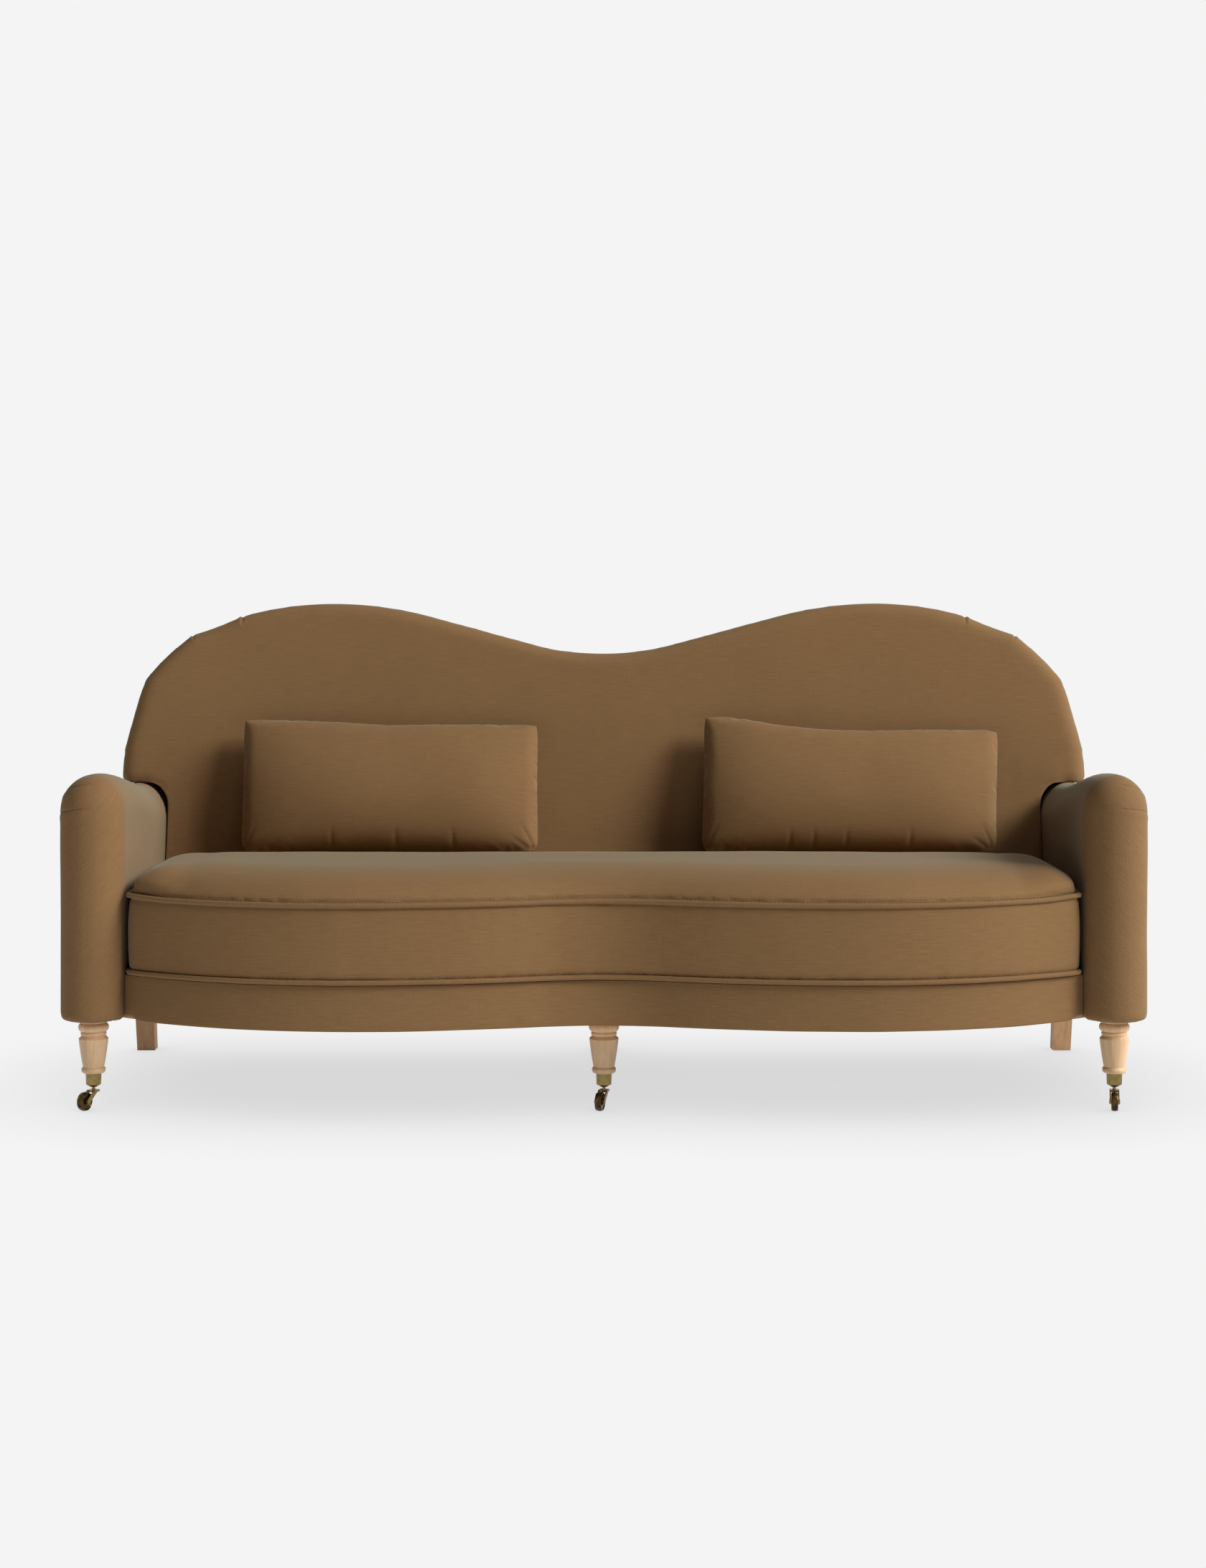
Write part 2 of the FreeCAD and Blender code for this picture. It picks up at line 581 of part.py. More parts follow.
def make_base_upholstery():
    arms = arm_form(1.0, -JOIN_GAP).fuse(arm_form(-1.0, -JOIN_GAP))
    reach = box(-ARM_X, ARM_X, -FAR, ARM_AXIS_Y, UNDERSIDE_Z, DECK_Z)
    lining = BASE_SETBACK + SKIN_T
    cover = base_prism(BASE_SETBACK, UNDERSIDE_Z, DECK_Z).cut(base_prism(lining, UNDERSIDE_Z, DECK_Z))
    pad = base_prism(lining, UNDERSIDE_Z, DECK_Z).cut(base_prism(RAIL_INSET, UNDERSIDE_Z, DECK_Z))
    save("base_front_cover", cover.common(reach).cut(arms))
    save("base_front_padding", pad.common(reach).cut(arms))
    deck = base_prism(RAIL_INSET, RAIL_TOP_Z, DECK_Z)
    deck = deck.common(box(-BACK_HALF_W, BACK_HALF_W, -FAR, REAR_RAIL_Y, RAIL_TOP_Z, DECK_Z))
    save("deck_pad", deck)
    front_y = LEG_Y + LEG_BULB_R + DUST_COVER_EDGE
    rear_y = FRAME_REAR_Y - REAR_LEG_TOP - DUST_COVER_EDGE
    x = ARM_FRAME_INNER_X + ARM_FRAME_W
    save("dust_cover", box(-x, x, front_y, rear_y, UNDERSIDE_Z - DUST_COVER_T, UNDERSIDE_Z))


def spring_path(x, y0, y1, z):
    """Rows across the seat joined by half turns, from the front rail to the rear rail."""
    rows = 2 * round((y1 - y0) / SPRING_PITCH / 2)
    radius = (y1 - y0) / rows / 2
    edges = []
    for row in range(rows + 1):
        y = y0 + 2 * radius * row
        heading = 1 if row % 2 == 0 else -1
        start = Vector(x - heading * SPRING_HALF_W, y, z)
        end = Vector(x + heading * SPRING_HALF_W, y, z)
        edges.append(Part.makeLine(start, end))
        if row < rows:
            tip = Vector(end.x + heading * radius, y + radius, z)
            middle = Vector(end.x, y + radius, z)
            edges.append(arc_about(middle, end, tip))
            edges.append(arc_about(middle, tip, Vector(end.x, y + 2 * radius, z)))
    return Part.Wire(edges)


def make_springs():
    z = RAIL_TOP_Z - SPRING_DROP
    springs = []
    clips = []
    inner_face = RAIL_INSET + RAIL_T
    rail = base_prism(0, UNDERSIDE_Z, RAIL_TOP_Z).cut(base_prism(inner_face, UNDERSIDE_Z, RAIL_TOP_Z))
    for across in [side * x for x in SPRING_X for side in SIDES.values()]:
        half_w = SPRING_HALF_W + SPRING_PITCH / 2 + CLIP_D / 2
        faces = [front_line_y(across + step, inner_face) for step in (-half_w, 0, half_w)]
        y0 = max(faces) + CLIP_D / 2
        y1 = REAR_RAIL_Y - CLIP_D / 2
        path = spring_path(across, y0, y1, z)
        ring = Part.makeCircle(SPRING_WIRE_R, path.Vertexes[0].Point, Vector(1, 0, 0))
        wire = path.makePipeShell([Part.Wire(ring)], True, False)
        springs.append(wire)
        for y_low, y_high in ((min(faces), y0 + CLIP_D / 2), (y1 - CLIP_D / 2, REAR_RAIL_Y)):
            clip = box(across - CLIP_W / 2, across + CLIP_W / 2, y_low, y_high, RAIL_TOP_Z - CLIP_H, RAIL_TOP_Z)
            clips.append(clip.cut(rail).cut(wire))
    save("seat_springs", Part.makeCompound(springs))
    save("spring_clips", Part.makeCompound(clips))


# Back frame and upholstery

def back_region(edge):
    """Everything in front of and behind the back's outline, drawn in by edge, down to the rails."""
    upper = back_prism(edge, 0, -FRAME_REAR_Y, FRAME_REAR_Y)
    return upper.fuse(box(-BACK_HALF_W, BACK_HALF_W, 0, FAR, RAIL_TOP_Z, ARM_REAR_Z + EAR_LIFT))


def make_back():
    board = OUTSIDE_PANEL_T + BACK_BOARD_T
    boards = slab(OUTSIDE_PANEL_T, board)
    crest_low = on_slope(0, CREST_LOW_W, 0).z
    field = back_region(CREST_INSET)
    crest = boards.common(field).cut(back_region(CREST_INSET + CREST_RAIL_H))
    crest = crest.common(box(-FAR, FAR, 0, FAR, crest_low, FAR))
    uprights = []
    half = UPRIGHT_W / 2
    for x in [side * x for x in UPRIGHT_X for side in SIDES.values()]:
        upright = boards.common(box(x - half, x + half, 0, FAR, RAIL_TOP_Z, FAR)).common(field)
        uprights.append(upright.cut(crest).Solids[0])
    stops = [-UPRIGHT_X[1] + half, -UPRIGHT_X[0] - half, -UPRIGHT_X[0] + half]
    spans = [(stops[0], stops[1]), (stops[2], -stops[2]), (-stops[1], -stops[0])]
    lower = [boards.common(box(a, b, 0, FAR, LOWER_RAIL_Z, LOWER_RAIL_Z + LOWER_RAIL_H)) for a, b in spans]
    webs = [box(-UPRIGHT_X[1], UPRIGHT_X[1], 0, FAR, z, z + WEB_W) for z in WEB_ROWS_Z]
    webs += [box(x - WEB_W / 2, x + WEB_W / 2, 0, FAR, LOWER_RAIL_Z, FAR) for x in WEB_COLUMNS_X]
    webbing = webs[0].multiFuse(webs[1:]).common(slab(board, board + WEB_T))
    webbing = webbing.common(back_region(CREST_INSET + CREST_RAIL_H / 2))
    save("back_top_rail", crest)
    save("back_uprights", Part.makeCompound(uprights))
    save("back_lower_rail", Part.makeCompound(lower))
    save("back_webbing", webbing)
    form = back_form(SKIN_T, OUTSIDE_PANEL_T)
    pocket = slab(0, board + WEB_T).common(field)
    wide = box(-UPRIGHT_X[1] - half, UPRIGHT_X[1] + half, 0, FAR, 0, FAR)
    pocket = pocket.common(wide.fuse(box(-FAR, FAR, 0, FAR, crest_low, FAR)))
    save("back_padding", form.cut(pocket))
    save("back_cover", back_form(0, OUTSIDE_PANEL_T).cut(form))


def make_outside_panel():
    rear = back_form(SKIN_T, 0).fuse(arm_form(1.0, SKIN_T)).fuse(arm_form(-1.0, SKIN_T))
    x = ARM_X
    rear = rear.fuse(box(-x, x, 0, FAR, UNDERSIDE_Z, ARM_RAIL_TOP_Z - ARM_CROWN_REAR_H))
    save("outside_back_panel", rear.common(slab(0, OUTSIDE_PANEL_T)))


# Seat cushion

def cushion_form(inset):
    """Boxed cushion with a crowned top; inset draws in all its faces."""
    side = WELT_R + inset
    walls = plan_prism(side, CUSHION_HALF_W, CUSHION_REAR_Y, CUSHION_CORNER_R, DECK_Z + inset, CUSHION_SEAM_Z)
    wires = []
    for reach, rise in CROWN_STEPS:
        corner_r = CUSHION_CORNER_R + reach * CROWN_CORNER_GAIN
        top = CUSHION_SEAM_Z + rise * (CROWN_RISE - inset)
        wires.append(plan_wire(side + reach * CROWN_REACH, CUSHION_HALF_W, CUSHION_REAR_Y, corner_r, top))
    return walls.fuse(Part.makeLoft(wires, True, False))


def welt(z):
    """Piping round the whole cushion."""
    path = plan_wire(0, CUSHION_HALF_W, CUSHION_REAR_Y, CUSHION_CORNER_R, z)
    start = path.Edges[0]
    point = start.Vertexes[0].Point
    ring = Part.makeCircle(WELT_R, point, start.tangentAt(start.FirstParameter))
    return path.makePipeShell([Part.Wire(ring)], True, False)


def make_seat_cushion():
    core = cushion_form(SKIN_T)
    save("seat_cushion_core", core)
    save("seat_cushion_cover", cushion_form(0).cut(core))
    save("seat_cushion_top_welt", welt(CUSHION_SEAM_Z))
    save("seat_cushion_bottom_welt", welt(DECK_Z + WELT_R))


# Pillows

def pillow_seat_y():
    """Y of a pillow's bottom seam, so that its back just meets the sofa's back."""
    lean = math.radians(PILLOW_LEAN)
    rake = math.radians(BACK_RAKE)
    half_t = PILLOW_T / 2
    radius = ((PILLOW_H / 2 - PILLOW_WAIST) ** 2 + half_t ** 2) / PILLOW_T
    reach = radius - (radius - half_t) * math.cos(lean - rake) + PILLOW_GAP
    up = PILLOW_H / 2
    height = (PILLOW_SEAT_Z + up * math.cos(lean) - BACK_REF_Z) * math.sin(rake)
    return BACK_REF_Y + (height - reach) / math.cos(rake) - up * math.sin(lean)


def pillow_section(x, half_h, half_t, inset):
    """Pointed oval section of a pillow at X, leaning on the back."""
    lean = math.radians(PILLOW_LEAN)
    up = Vector(0, math.sin(lean), math.cos(lean))
    back = Vector(0, math.cos(lean), -math.sin(lean))
    radius = (half_h ** 2 + half_t ** 2) / (2 * half_t)
    reach = math.sqrt((radius - inset) ** 2 - (radius - half_t) ** 2)
    middle = Vector(x, pillow_seat_y(), PILLOW_SEAT_Z) + up * (PILLOW_H / 2)
    low = middle - up * reach
    high = middle + up * reach
    rear = Part.Arc(low, middle + back * (half_t - inset), high).toShape()
    front = Part.Arc(high, middle - back * (half_t - inset), low).toShape()
    return Part.Wire([rear, front])


def pillow_form(x0, x1, inset):
    """A knife-edged pillow, full in the middle and drawn in between its corners."""
    centre = (x0 + x1) / 2
    half_w = (x1 - x0) / 2 - inset
    wires = []
    both = [(-u, t) for u, t in reversed(PILLOW_SECTIONS[1:])] + list(PILLOW_SECTIONS)
    for across, fullness in both:
        half_h = PILLOW_H / 2 - PILLOW_WAIST * (1 - across ** 2)
        wires.append(pillow_section(centre + across * half_w, half_h, PILLOW_T / 2 * fullness, inset))
    return Part.makeLoft(wires, True, False)


def make_pillows():
    for name, (x0, x1) in (("left", LEFT_PILLOW_X), ("right", RIGHT_PILLOW_X)):
        insert = pillow_form(x0, x1, PILLOW_SKIN_T)
        save(name + "_pillow_insert", insert)
        save(name + "_pillow_cover", pillow_form(x0, x1, 0).cut(insert))


# Legs and casters

def make_front_legs():
    ring_low = LEG_RING_Z - LEG_RING_H / 2
    ring_high = LEG_RING_Z + LEG_RING_H / 2
    foot_mid = (LEG_FOOT_Z + LEG_ANKLE_Z) / 2
    outline = profile([(0, CUP_FLOOR_Z), (LEG_TENON_R, CUP_FLOOR_Z), (LEG_TENON_R, LEG_FOOT_Z),
                       (LEG_ANKLE_R, LEG_FOOT_Z), (LEG_FOOT_RING_R, foot_mid, "arc"),
                       (LEG_ANKLE_R, LEG_ANKLE_Z), (LEG_BELLY_R, LEG_BELLY_Z, "arc"),
                       (LEG_SHOULDER_R, LEG_SHOULDER_Z), (LEG_GROOVE_R, ring_low),
                       (LEG_RING_R, LEG_RING_Z, "arc"), (LEG_GROOVE_R, ring_high),
                       (LEG_BULB_R, LEG_BULB_Z, "arc"), (LEG_GROOVE_R, LEG_NECK_Z),
                       (LEG_NECK_R, LEG_NECK_Z), (LEG_NECK_R, UNDERSIDE_Z), (0, UNDERSIDE_Z)])
    pocket_top = PIN_TOP_Z + PIN_POCKET_GAP
    for name, x in LEG_X.items():
        leg = turned(outline, x, LEG_Y)
        leg = leg.cut(rod(BOLT_R, UNDERSIDE_Z - BOLT_IN_LEG, UNDERSIDE_Z, x, LEG_Y))
        save(name + "_front_leg", leg.cut(rod(PIN_POCKET_R, CUP_FLOOR_Z, pocket_top, x, LEG_Y)))


def square_wire(x, y, size, z):
    half = size / 2
    corners = [Vector(x - half, y - half, z), Vector(x + half, y - half, z),
               Vector(x + half, y + half, z), Vector(x - half, y + half, z)]
    return Part.makePolygon(corners + corners[:1])


def make_rear_legs():
    for name, x in REAR_X.items():
        top = square_wire(x, REAR_LEG_Y, REAR_LEG_TOP, UNDERSIDE_Z)
        foot = square_wire(x, REAR_LEG_Y + REAR_LEG_RAKE, REAR_LEG_FOOT, 0)
        leg = Part.makeLoft([foot, top], True, True)
        bore = rod(BOLT_R, UNDERSIDE_Z - BOLT_IN_LEG, UNDERSIDE_Z, x, REAR_LEG_Y)
        save(name + "_rear_leg", leg.cut(bore))


def caster_cup():
    outline = profile([(PIN_R + RUNNING_FIT, CUP_TIP_Z), (CUP_TIP_R, CUP_TIP_Z), (CUP_FOOT_R, CUP_CONE_Z),
                       (CUP_TOP_R, LEG_FOOT_Z), (LEG_TENON_R, LEG_FOOT_Z), (LEG_TENON_R, CUP_FLOOR_Z),
                       (PIN_R + RUNNING_FIT, CUP_FLOOR_Z)])
    return turned(outline, 0, 0)


def pivot_pin():
    plate_low = YOKE_TOP_Z - YOKE_PLATE_T
    head_low = CUP_FLOOR_Z + PIN_PLAY
    pin = rod(PIN_R, plate_low, PIN_TOP_Z, 0, 0)
    pin = pin.fuse(rod(PIN_HEAD_R, head_low, head_low + PIN_HEAD_H, 0, 0))
    return pin.fuse(rod(PIN_HEAD_R, plate_low - PIN_HEAD_H, plate_low, 0, 0))


def yoke():
    """Top plate and two side arms that sweep forward and down to the axle; forward is +X here."""
    inside = WHEEL_W / 2 + YOKE_SIDE_GAP
    plate_low = YOKE_TOP_Z - YOKE_PLATE_T
    half_w = inside + YOKE_T
    plate = box(-YOKE_TAIL, YOKE_NOSE, -half_w, half_w, plate_low, YOKE_TOP_Z)
    eye = Vector(CASTER_TRAIL, 0, WHEEL_R)
    turn = math.radians(YOKE_EYE_TURN)
    lean = Vector(math.cos(turn), 0, math.sin(turn)) * YOKE_EYE_R
    tip = eye + Vector(lean.z, 0, -lean.x)
    edges = [Part.makeLine(Vector(-YOKE_TAIL, 0, plate_low), Vector(-YOKE_TAIL, 0, YOKE_TOP_Z)),
             Part.makeLine(Vector(-YOKE_TAIL, 0, YOKE_TOP_Z), Vector(YOKE_NOSE, 0, YOKE_TOP_Z)),
             Part.makeLine(Vector(YOKE_NOSE, 0, YOKE_TOP_Z), eye + lean),
             Part.Arc(eye + lean, tip, eye - lean).toShape(),
             Part.makeLine(eye - lean, Vector(0, 0, plate_low)),
             Part.makeLine(Vector(0, 0, plate_low), Vector(-YOKE_TAIL, 0, plate_low))]
    cheek = Part.Face(Part.Wire(edges)).extrude(Vector(0, YOKE_T, 0))
    frame = plate.fuse(cheek.translated(Vector(0, inside, 0)))
    frame = frame.fuse(cheek.translated(Vector(0, -half_w, 0)))
    frame = frame.cut(rod(PIN_R, plate_low, YOKE_TOP_Z, 0, 0))
    return frame.cut(across_rod(AXLE_R, half_w))


def across_rod(radius, half_length):
    """A round bar along the wheel's axis."""
    start = Vector(CASTER_TRAIL, -half_length, WHEEL_R)
    return Part.makeCylinder(radius, 2 * half_length, start, Vector(0, 1, 0))


def axle():
    outside = WHEEL_W / 2 + YOKE_SIDE_GAP + YOKE_T
    heads = across_rod(AXLE_HEAD_R, outside + AXLE_HEAD_H).cut(across_rod(AXLE_HEAD_R, outside))
    return across_rod(AXLE_R, outside).fuse(heads)


def wheel():
    half = WHEEL_W / 2
    bore = AXLE_R + RUNNING_FIT
    dish = half - WHEEL_DISH
    outline = profile([(bore, -half), (WHEEL_HUB_R, -half), (WHEEL_HUB_R, -dish), (WHEEL_WEB_R, -dish),
                       (WHEEL_RIM_R, -half), (WHEEL_R, 0, "arc"), (WHEEL_RIM_R, half), (WHEEL_WEB_R, dish),
                       (WHEEL_HUB_R, dish), (WHEEL_HUB_R, half), (bore, half)])
    solid = turned(outline, 0, 0)
    solid.rotate(Vector(0, 0, 0), Vector(1, 0, 0), 90)
    return solid.translated(Vector(CASTER_TRAIL, 0, WHEEL_R))


def make_casters():
    pieces = {"caster_cup": caster_cup, "caster_pivot_pin": pivot_pin, "caster_yoke": yoke,
              "caster_axle": axle, "caster_wheel": wheel}
    for name, x in LEG_X.items():
        for piece, make in pieces.items():
            shape = make()
            shape.rotate(Vector(0, 0, 0), UP, -90 - CASTER_TURN[name])
            save(name + "_" + piece, shape.translated(Vector(x, LEG_Y, 0)))


def main():
    os.makedirs("parts", exist_ok=True)
    bores = make_leg_fixings()
    rails = make_base_rails(bores)
    make_arm_frame(bores)
    make_arm_upholstery(rails)
    make_base_upholstery()
    make_springs()
    make_back()
    make_outside_panel()
    make_seat_cushion()
    make_pillows()
    make_front_legs()
    make_rear_legs()
    make_casters()


main()
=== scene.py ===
# %% [markdown]
# # A three-seat sofa with a double-humped back
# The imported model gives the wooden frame, the legs and the casters as they are. This lesson
# dresses it: it makes the fabric, the cushion, the arms, the back and the pillows around those
# solids, so each soft piece sits exactly where its plain solid is.

import json
from contextlib import contextmanager
from math import asin, atan2, copysign, cos, degrees, exp, hypot, pi, radians, sin, sqrt

import bmesh
import bpy
from mathutils import Matrix, Vector, noise


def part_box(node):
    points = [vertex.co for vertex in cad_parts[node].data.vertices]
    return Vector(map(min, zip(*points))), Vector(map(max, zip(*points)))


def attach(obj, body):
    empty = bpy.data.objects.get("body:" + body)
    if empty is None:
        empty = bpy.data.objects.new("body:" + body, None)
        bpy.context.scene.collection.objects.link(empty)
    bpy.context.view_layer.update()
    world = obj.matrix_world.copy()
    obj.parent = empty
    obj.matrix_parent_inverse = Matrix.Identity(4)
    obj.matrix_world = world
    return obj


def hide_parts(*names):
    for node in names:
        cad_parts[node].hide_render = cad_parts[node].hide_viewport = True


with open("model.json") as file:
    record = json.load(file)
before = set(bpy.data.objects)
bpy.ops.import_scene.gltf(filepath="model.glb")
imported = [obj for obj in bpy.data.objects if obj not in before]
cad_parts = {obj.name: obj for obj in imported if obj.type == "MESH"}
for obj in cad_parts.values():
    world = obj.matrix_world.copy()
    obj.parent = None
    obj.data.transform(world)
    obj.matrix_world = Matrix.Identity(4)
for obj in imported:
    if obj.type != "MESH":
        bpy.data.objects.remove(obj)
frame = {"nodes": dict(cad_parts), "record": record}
scene = bpy.context.scene
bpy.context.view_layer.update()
nodes = frame["nodes"]

# %% [markdown]
# Every length is in metres. The rest are sizes of the fabric work.

# %% Sizes
MM = 0.001
SKIN = 2 * MM                     # fabric over the padding
SIDES = {"left": -1.0, "right": 1.0}

welt_low, welt_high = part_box("seat_cushion_top_welt")
bottom_welt_low, bottom_welt_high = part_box("seat_cushion_bottom_welt")
base_low, base_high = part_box("base_front_cover")
arm_low, arm_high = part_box("right_arm_cover")
panel_low, panel_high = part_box("outside_back_panel")

WELT_R = (welt_high[2] - welt_low[2]) / 2
SEAM_Z = (welt_low[2] + welt_high[2]) / 2
BOTTOM_SEAM_Z = (bottom_welt_low[2] + bottom_welt_high[2]) / 2
CUSHION_HALF_W = welt_high[0] - WELT_R
CUSHION_REAR_Y = welt_high[1] - WELT_R
UNDERSIDE_Z = base_low[2]
DECK_Z = base_high[2]
ARM_X = (arm_low[0] + arm_high[0]) / 2
ARM_R = (arm_high[0] - arm_low[0]) / 2
BACK_HALF_W = ARM_X - ARM_R - 3 * MM
ARM_AXIS_Y = arm_low[1] + ARM_R
print("seam height", round(SEAM_Z, 4), "arm axis", round(ARM_X, 4), round(ARM_AXIS_Y, 4))

# %% [markdown]
# ## Helpers for materials
# A procedural material is a small tree of nodes. `add` makes one node and `fill` gives a node its
# inputs, so that a material reads from top to bottom like a recipe.


# %% Node helpers
def fill(node, inputs):
    """Sets a node's inputs; each value is a number, a colour or another node's output."""
    for key, value in inputs.items():
        if isinstance(value, bpy.types.NodeSocket):
            node.id_data.links.new(value, node.inputs[key])
        else:
            node.inputs[key].default_value = value


def add(tree, kind, inputs, **settings):
    """One shader node with its inputs and its settings."""
    made = tree.nodes.new("ShaderNode" + kind)
    for key, value in settings.items():
        setattr(made, key, value)
    fill(made, inputs)
    return made


def new_material(name, colour, roughness):
    material = bpy.data.materials.new(name)
    material.use_nodes = True
    shader = material.node_tree.nodes["Principled BSDF"]
    fill(shader, {"Base Color": (*colour, 1), "Roughness": roughness})
    return material, material.node_tree, shader


def maths(tree, operation, first, second=0.0, third=0.0):
    """The output of one Math node."""
    made = add(tree, "Math", {0: first, 1: second, 2: third}, operation=operation)
    return made.outputs[0]


def times(tree, first, second, plus=0.0):
    """The output of first * second + plus."""
    return maths(tree, "MULTIPLY_ADD", first, second, plus)


def blend_colours(tree, factor, dark, light):
    """The colour between two colours by a factor from 0 to 1."""
    made = add(tree, "Mix", {0: factor, 6: (*dark, 1), 7: (*light, 1)}, data_type="RGBA")
    return made.outputs[2]


def speckle(tree, place, scale, detail):
    """Noise from 0 to 1; a larger scale makes it finer."""
    return add(tree, "TexNoise", {"Vector": place, "Scale": scale, "Detail": detail}).outputs["Fac"]


def relief(tree, height, strength, distance, **settings):
    """The output of a Bump node, for a shader's normal."""
    inputs = {"Height": height, "Strength": strength, "Distance": distance}
    return add(tree, "Bump", inputs, **settings).outputs["Normal"]


def srgb(red, green, blue):
    """A colour given as on a screen, from 0 to 255, as Blender's linear colour."""
    def linear(value):
        part = value / 255
        return part / 12.92 if part <= 0.04045 else ((part + 0.055) / 1.055) ** 2.4
    return (linear(red), linear(green), linear(blue))


# %% [markdown]
# ## The upholstery fabric
# The sofa wears one brown cloth. On the seat, back and pillows its ribs run level; on the arms
# a twill line climbs at a slant. A weave has to follow the surface, so every material first works
# out two lengths along the cloth: across it and up it. Pieces with a cloth pattern of their own
# (arms and pillows) carry those lengths in a UV map. The others get them from object coordinates:
# "up" is a sum of Y and Z with one pair of weights for upright faces and one for level faces.

# %% Fabric material
RIB_PITCH = 2.4 * MM
THREAD_PITCH = 1.9 * MM
TWILL_PITCH = 3.9 * MM
TWILL_SLANT = 34.0
RIDGE = 0.26                      # share of the ribs in the weave
TWILL_RIDGE = 0.85
THREAD = 0.15                     # share of the upright threads
FIBRE = 0.45                      # share of the fine fibres
CONTRAST = 0.62
CLOUD = 0.10
SLUB = 0.36                       # thicker and thinner threads
SLUB_SCALE = 330.0
SIDE_TURN = 0.72                  # faces turned sideways more than this run along Y
UV_NAME = "weave"
SHEEN = 0.12
SHEEN_TINT = (0.76, 0.84, 0.78)
PAINTED_SHEEN_GREY = (0.26, 0.226, 0.154)        # greenish grey of a painted sheen, where the surface turns away from the view
PAINTED_SHEEN_FOCUS = 5.0
BROWN = srgb(134, 103, 69)
FLAT = ((0.0, 1.0), (1.0, 0.0), 0.72)
CROWNED = ((0.0, 1.0), (1.0, 0.55), 0.25)
LEANING = ((0.744, 0.826), (0.744, 0.826), 1.0)


def weave_from_uv(tree):
    place = add(tree, "UVMap", {}, uv_map=UV_NAME)
    lengths = add(tree, "SeparateXYZ", {0: place.outputs["UV"]}).outputs
    return lengths[0], lengths[1]


def weave_from_place(tree, upright, level, level_turn):
    """Lengths across and up the cloth; upright and level are weights of Y and Z."""
    place = add(tree, "TexCoord", {})
    at = add(tree, "SeparateXYZ", {0: place.outputs["Object"]}).outputs
    normal = add(tree, "SeparateXYZ", {0: place.outputs["Normal"]}).outputs
    sideways = maths(tree, "GREATER_THAN", maths(tree, "ABSOLUTE", normal[0]), SIDE_TURN)
    run = times(tree, at[1], maths(tree, "SIGN", normal[0]))
    across_part = times(tree, at[0], maths(tree, "SUBTRACT", 1.0, sideways))
    across = times(tree, run, sideways, across_part)
    ups = [times(tree, at[1], weights[0], times(tree, at[2], weights[1]))
           for weights in (upright, level)]
    is_level = maths(tree, "GREATER_THAN", maths(tree, "ABSOLUTE", normal[2]), level_turn)
    change = times(tree, is_level, maths(tree, "SUBTRACT", ups[1], ups[0]))
    return across, maths(tree, "ADD", ups[0], change)


def ridges(tree, along, pitch, wander, jitter):
    """A row of rounded ridges, 0 in the grooves and 1 on the ridges."""
    shift = times(tree, jitter, wander)
    turns = times(tree, along, 2 * pi / pitch, shift)
    return times(tree, maths(tree, "SINE", turns), 0.5, 0.5)


def fabric(name, colour, slant=0.0, pitch=RIB_PITCH, ridge=RIDGE, weave=None):
    """Brown woven cloth whose ridges lie at a slant, in degrees from level."""
    material, tree, shader = new_material(name, colour, 0.9)
    across, up = weave_from_place(tree, *weave) if weave else weave_from_uv(tree)
    place = add(tree, "TexCoord", {}).outputs["Object"]
    lump = speckle(tree, place, 45.0, 5.0)
    fibre = speckle(tree, place, 800.0, 2.0)
    cloud = speckle(tree, place, 6.0, 4.0)
    turn = radians(slant)
    sideways = times(tree, across, -sin(turn))
    tilted = times(tree, up, cos(turn), sideways)
    rib = ridges(tree, tilted, pitch, 3.5, lump)
    thread = ridges(tree, across, THREAD_PITCH, 5.0, lump)
    cloth = times(tree, rib, ridge, times(tree, thread, THREAD))
    cloth = times(tree, fibre, FIBRE, cloth)
    middle = (ridge + THREAD + FIBRE) / 2
    dark = tuple(part * 0.55 for part in colour)
    light = tuple(part * 1.45 for part in colour)
    mottled = times(tree, cloth, CONTRAST, 0.45 - CONTRAST * middle)
    mottled = times(tree, cloud, CLOUD, mottled)
    for along, beside, weight in ((across, tilted, SLUB), (tilted, across, SLUB * 0.3)):
        laid = add(tree, "CombineXYZ", {0: times(tree, along, 0.08), 1: beside}).outputs[0]
        slub = speckle(tree, laid, SLUB_SCALE, 3.0)
        mottled = times(tree, slub, weight, maths(tree, "SUBTRACT", mottled, weight / 2))
    woven = blend_colours(tree, mottled, dark, light)
    # Painted sheen: where the surface turns away from the view, the colour is blended towards a greenish
    # grey.
    facing = add(tree, "LayerWeight", {"Blend": 0.5}).outputs["Facing"]
    painted_sheen = maths(tree, "POWER", facing, PAINTED_SHEEN_FOCUS)
    with_painted_sheen = add(tree, "Mix", {0: painted_sheen, 6: woven, 7: (*PAINTED_SHEEN_GREY, 1)}, data_type="RGBA").outputs[2]
    fill(shader, {"Base Color": with_painted_sheen, "Normal": relief(tree, cloth, 0.45, 0.6 * MM),
                  "Specular IOR Level": 0.08, "Sheen Weight": SHEEN, "Sheen Roughness": 0.35,
                  "Sheen Tint": (*SHEEN_TINT, 1)})
    return material


seat_fabric = fabric("seat_fabric", BROWN, weave=CROWNED)
back_fabric = fabric("back_fabric", BROWN, weave=LEANING)
pillow_fabric = fabric("pillow_fabric", BROWN)
base_fabric = fabric("base_fabric", BROWN, weave=FLAT)
welt_fabric = fabric("welt_fabric", srgb(132, 101, 67), 45.0, THREAD_PITCH, weave=FLAT)
arm_fabrics = {"left": fabric("arm_fabric_left", BROWN, TWILL_SLANT, TWILL_PITCH, TWILL_RIDGE),
               "right": fabric("arm_fabric_right", BROWN, -TWILL_SLANT, TWILL_PITCH, TWILL_RIDGE)}
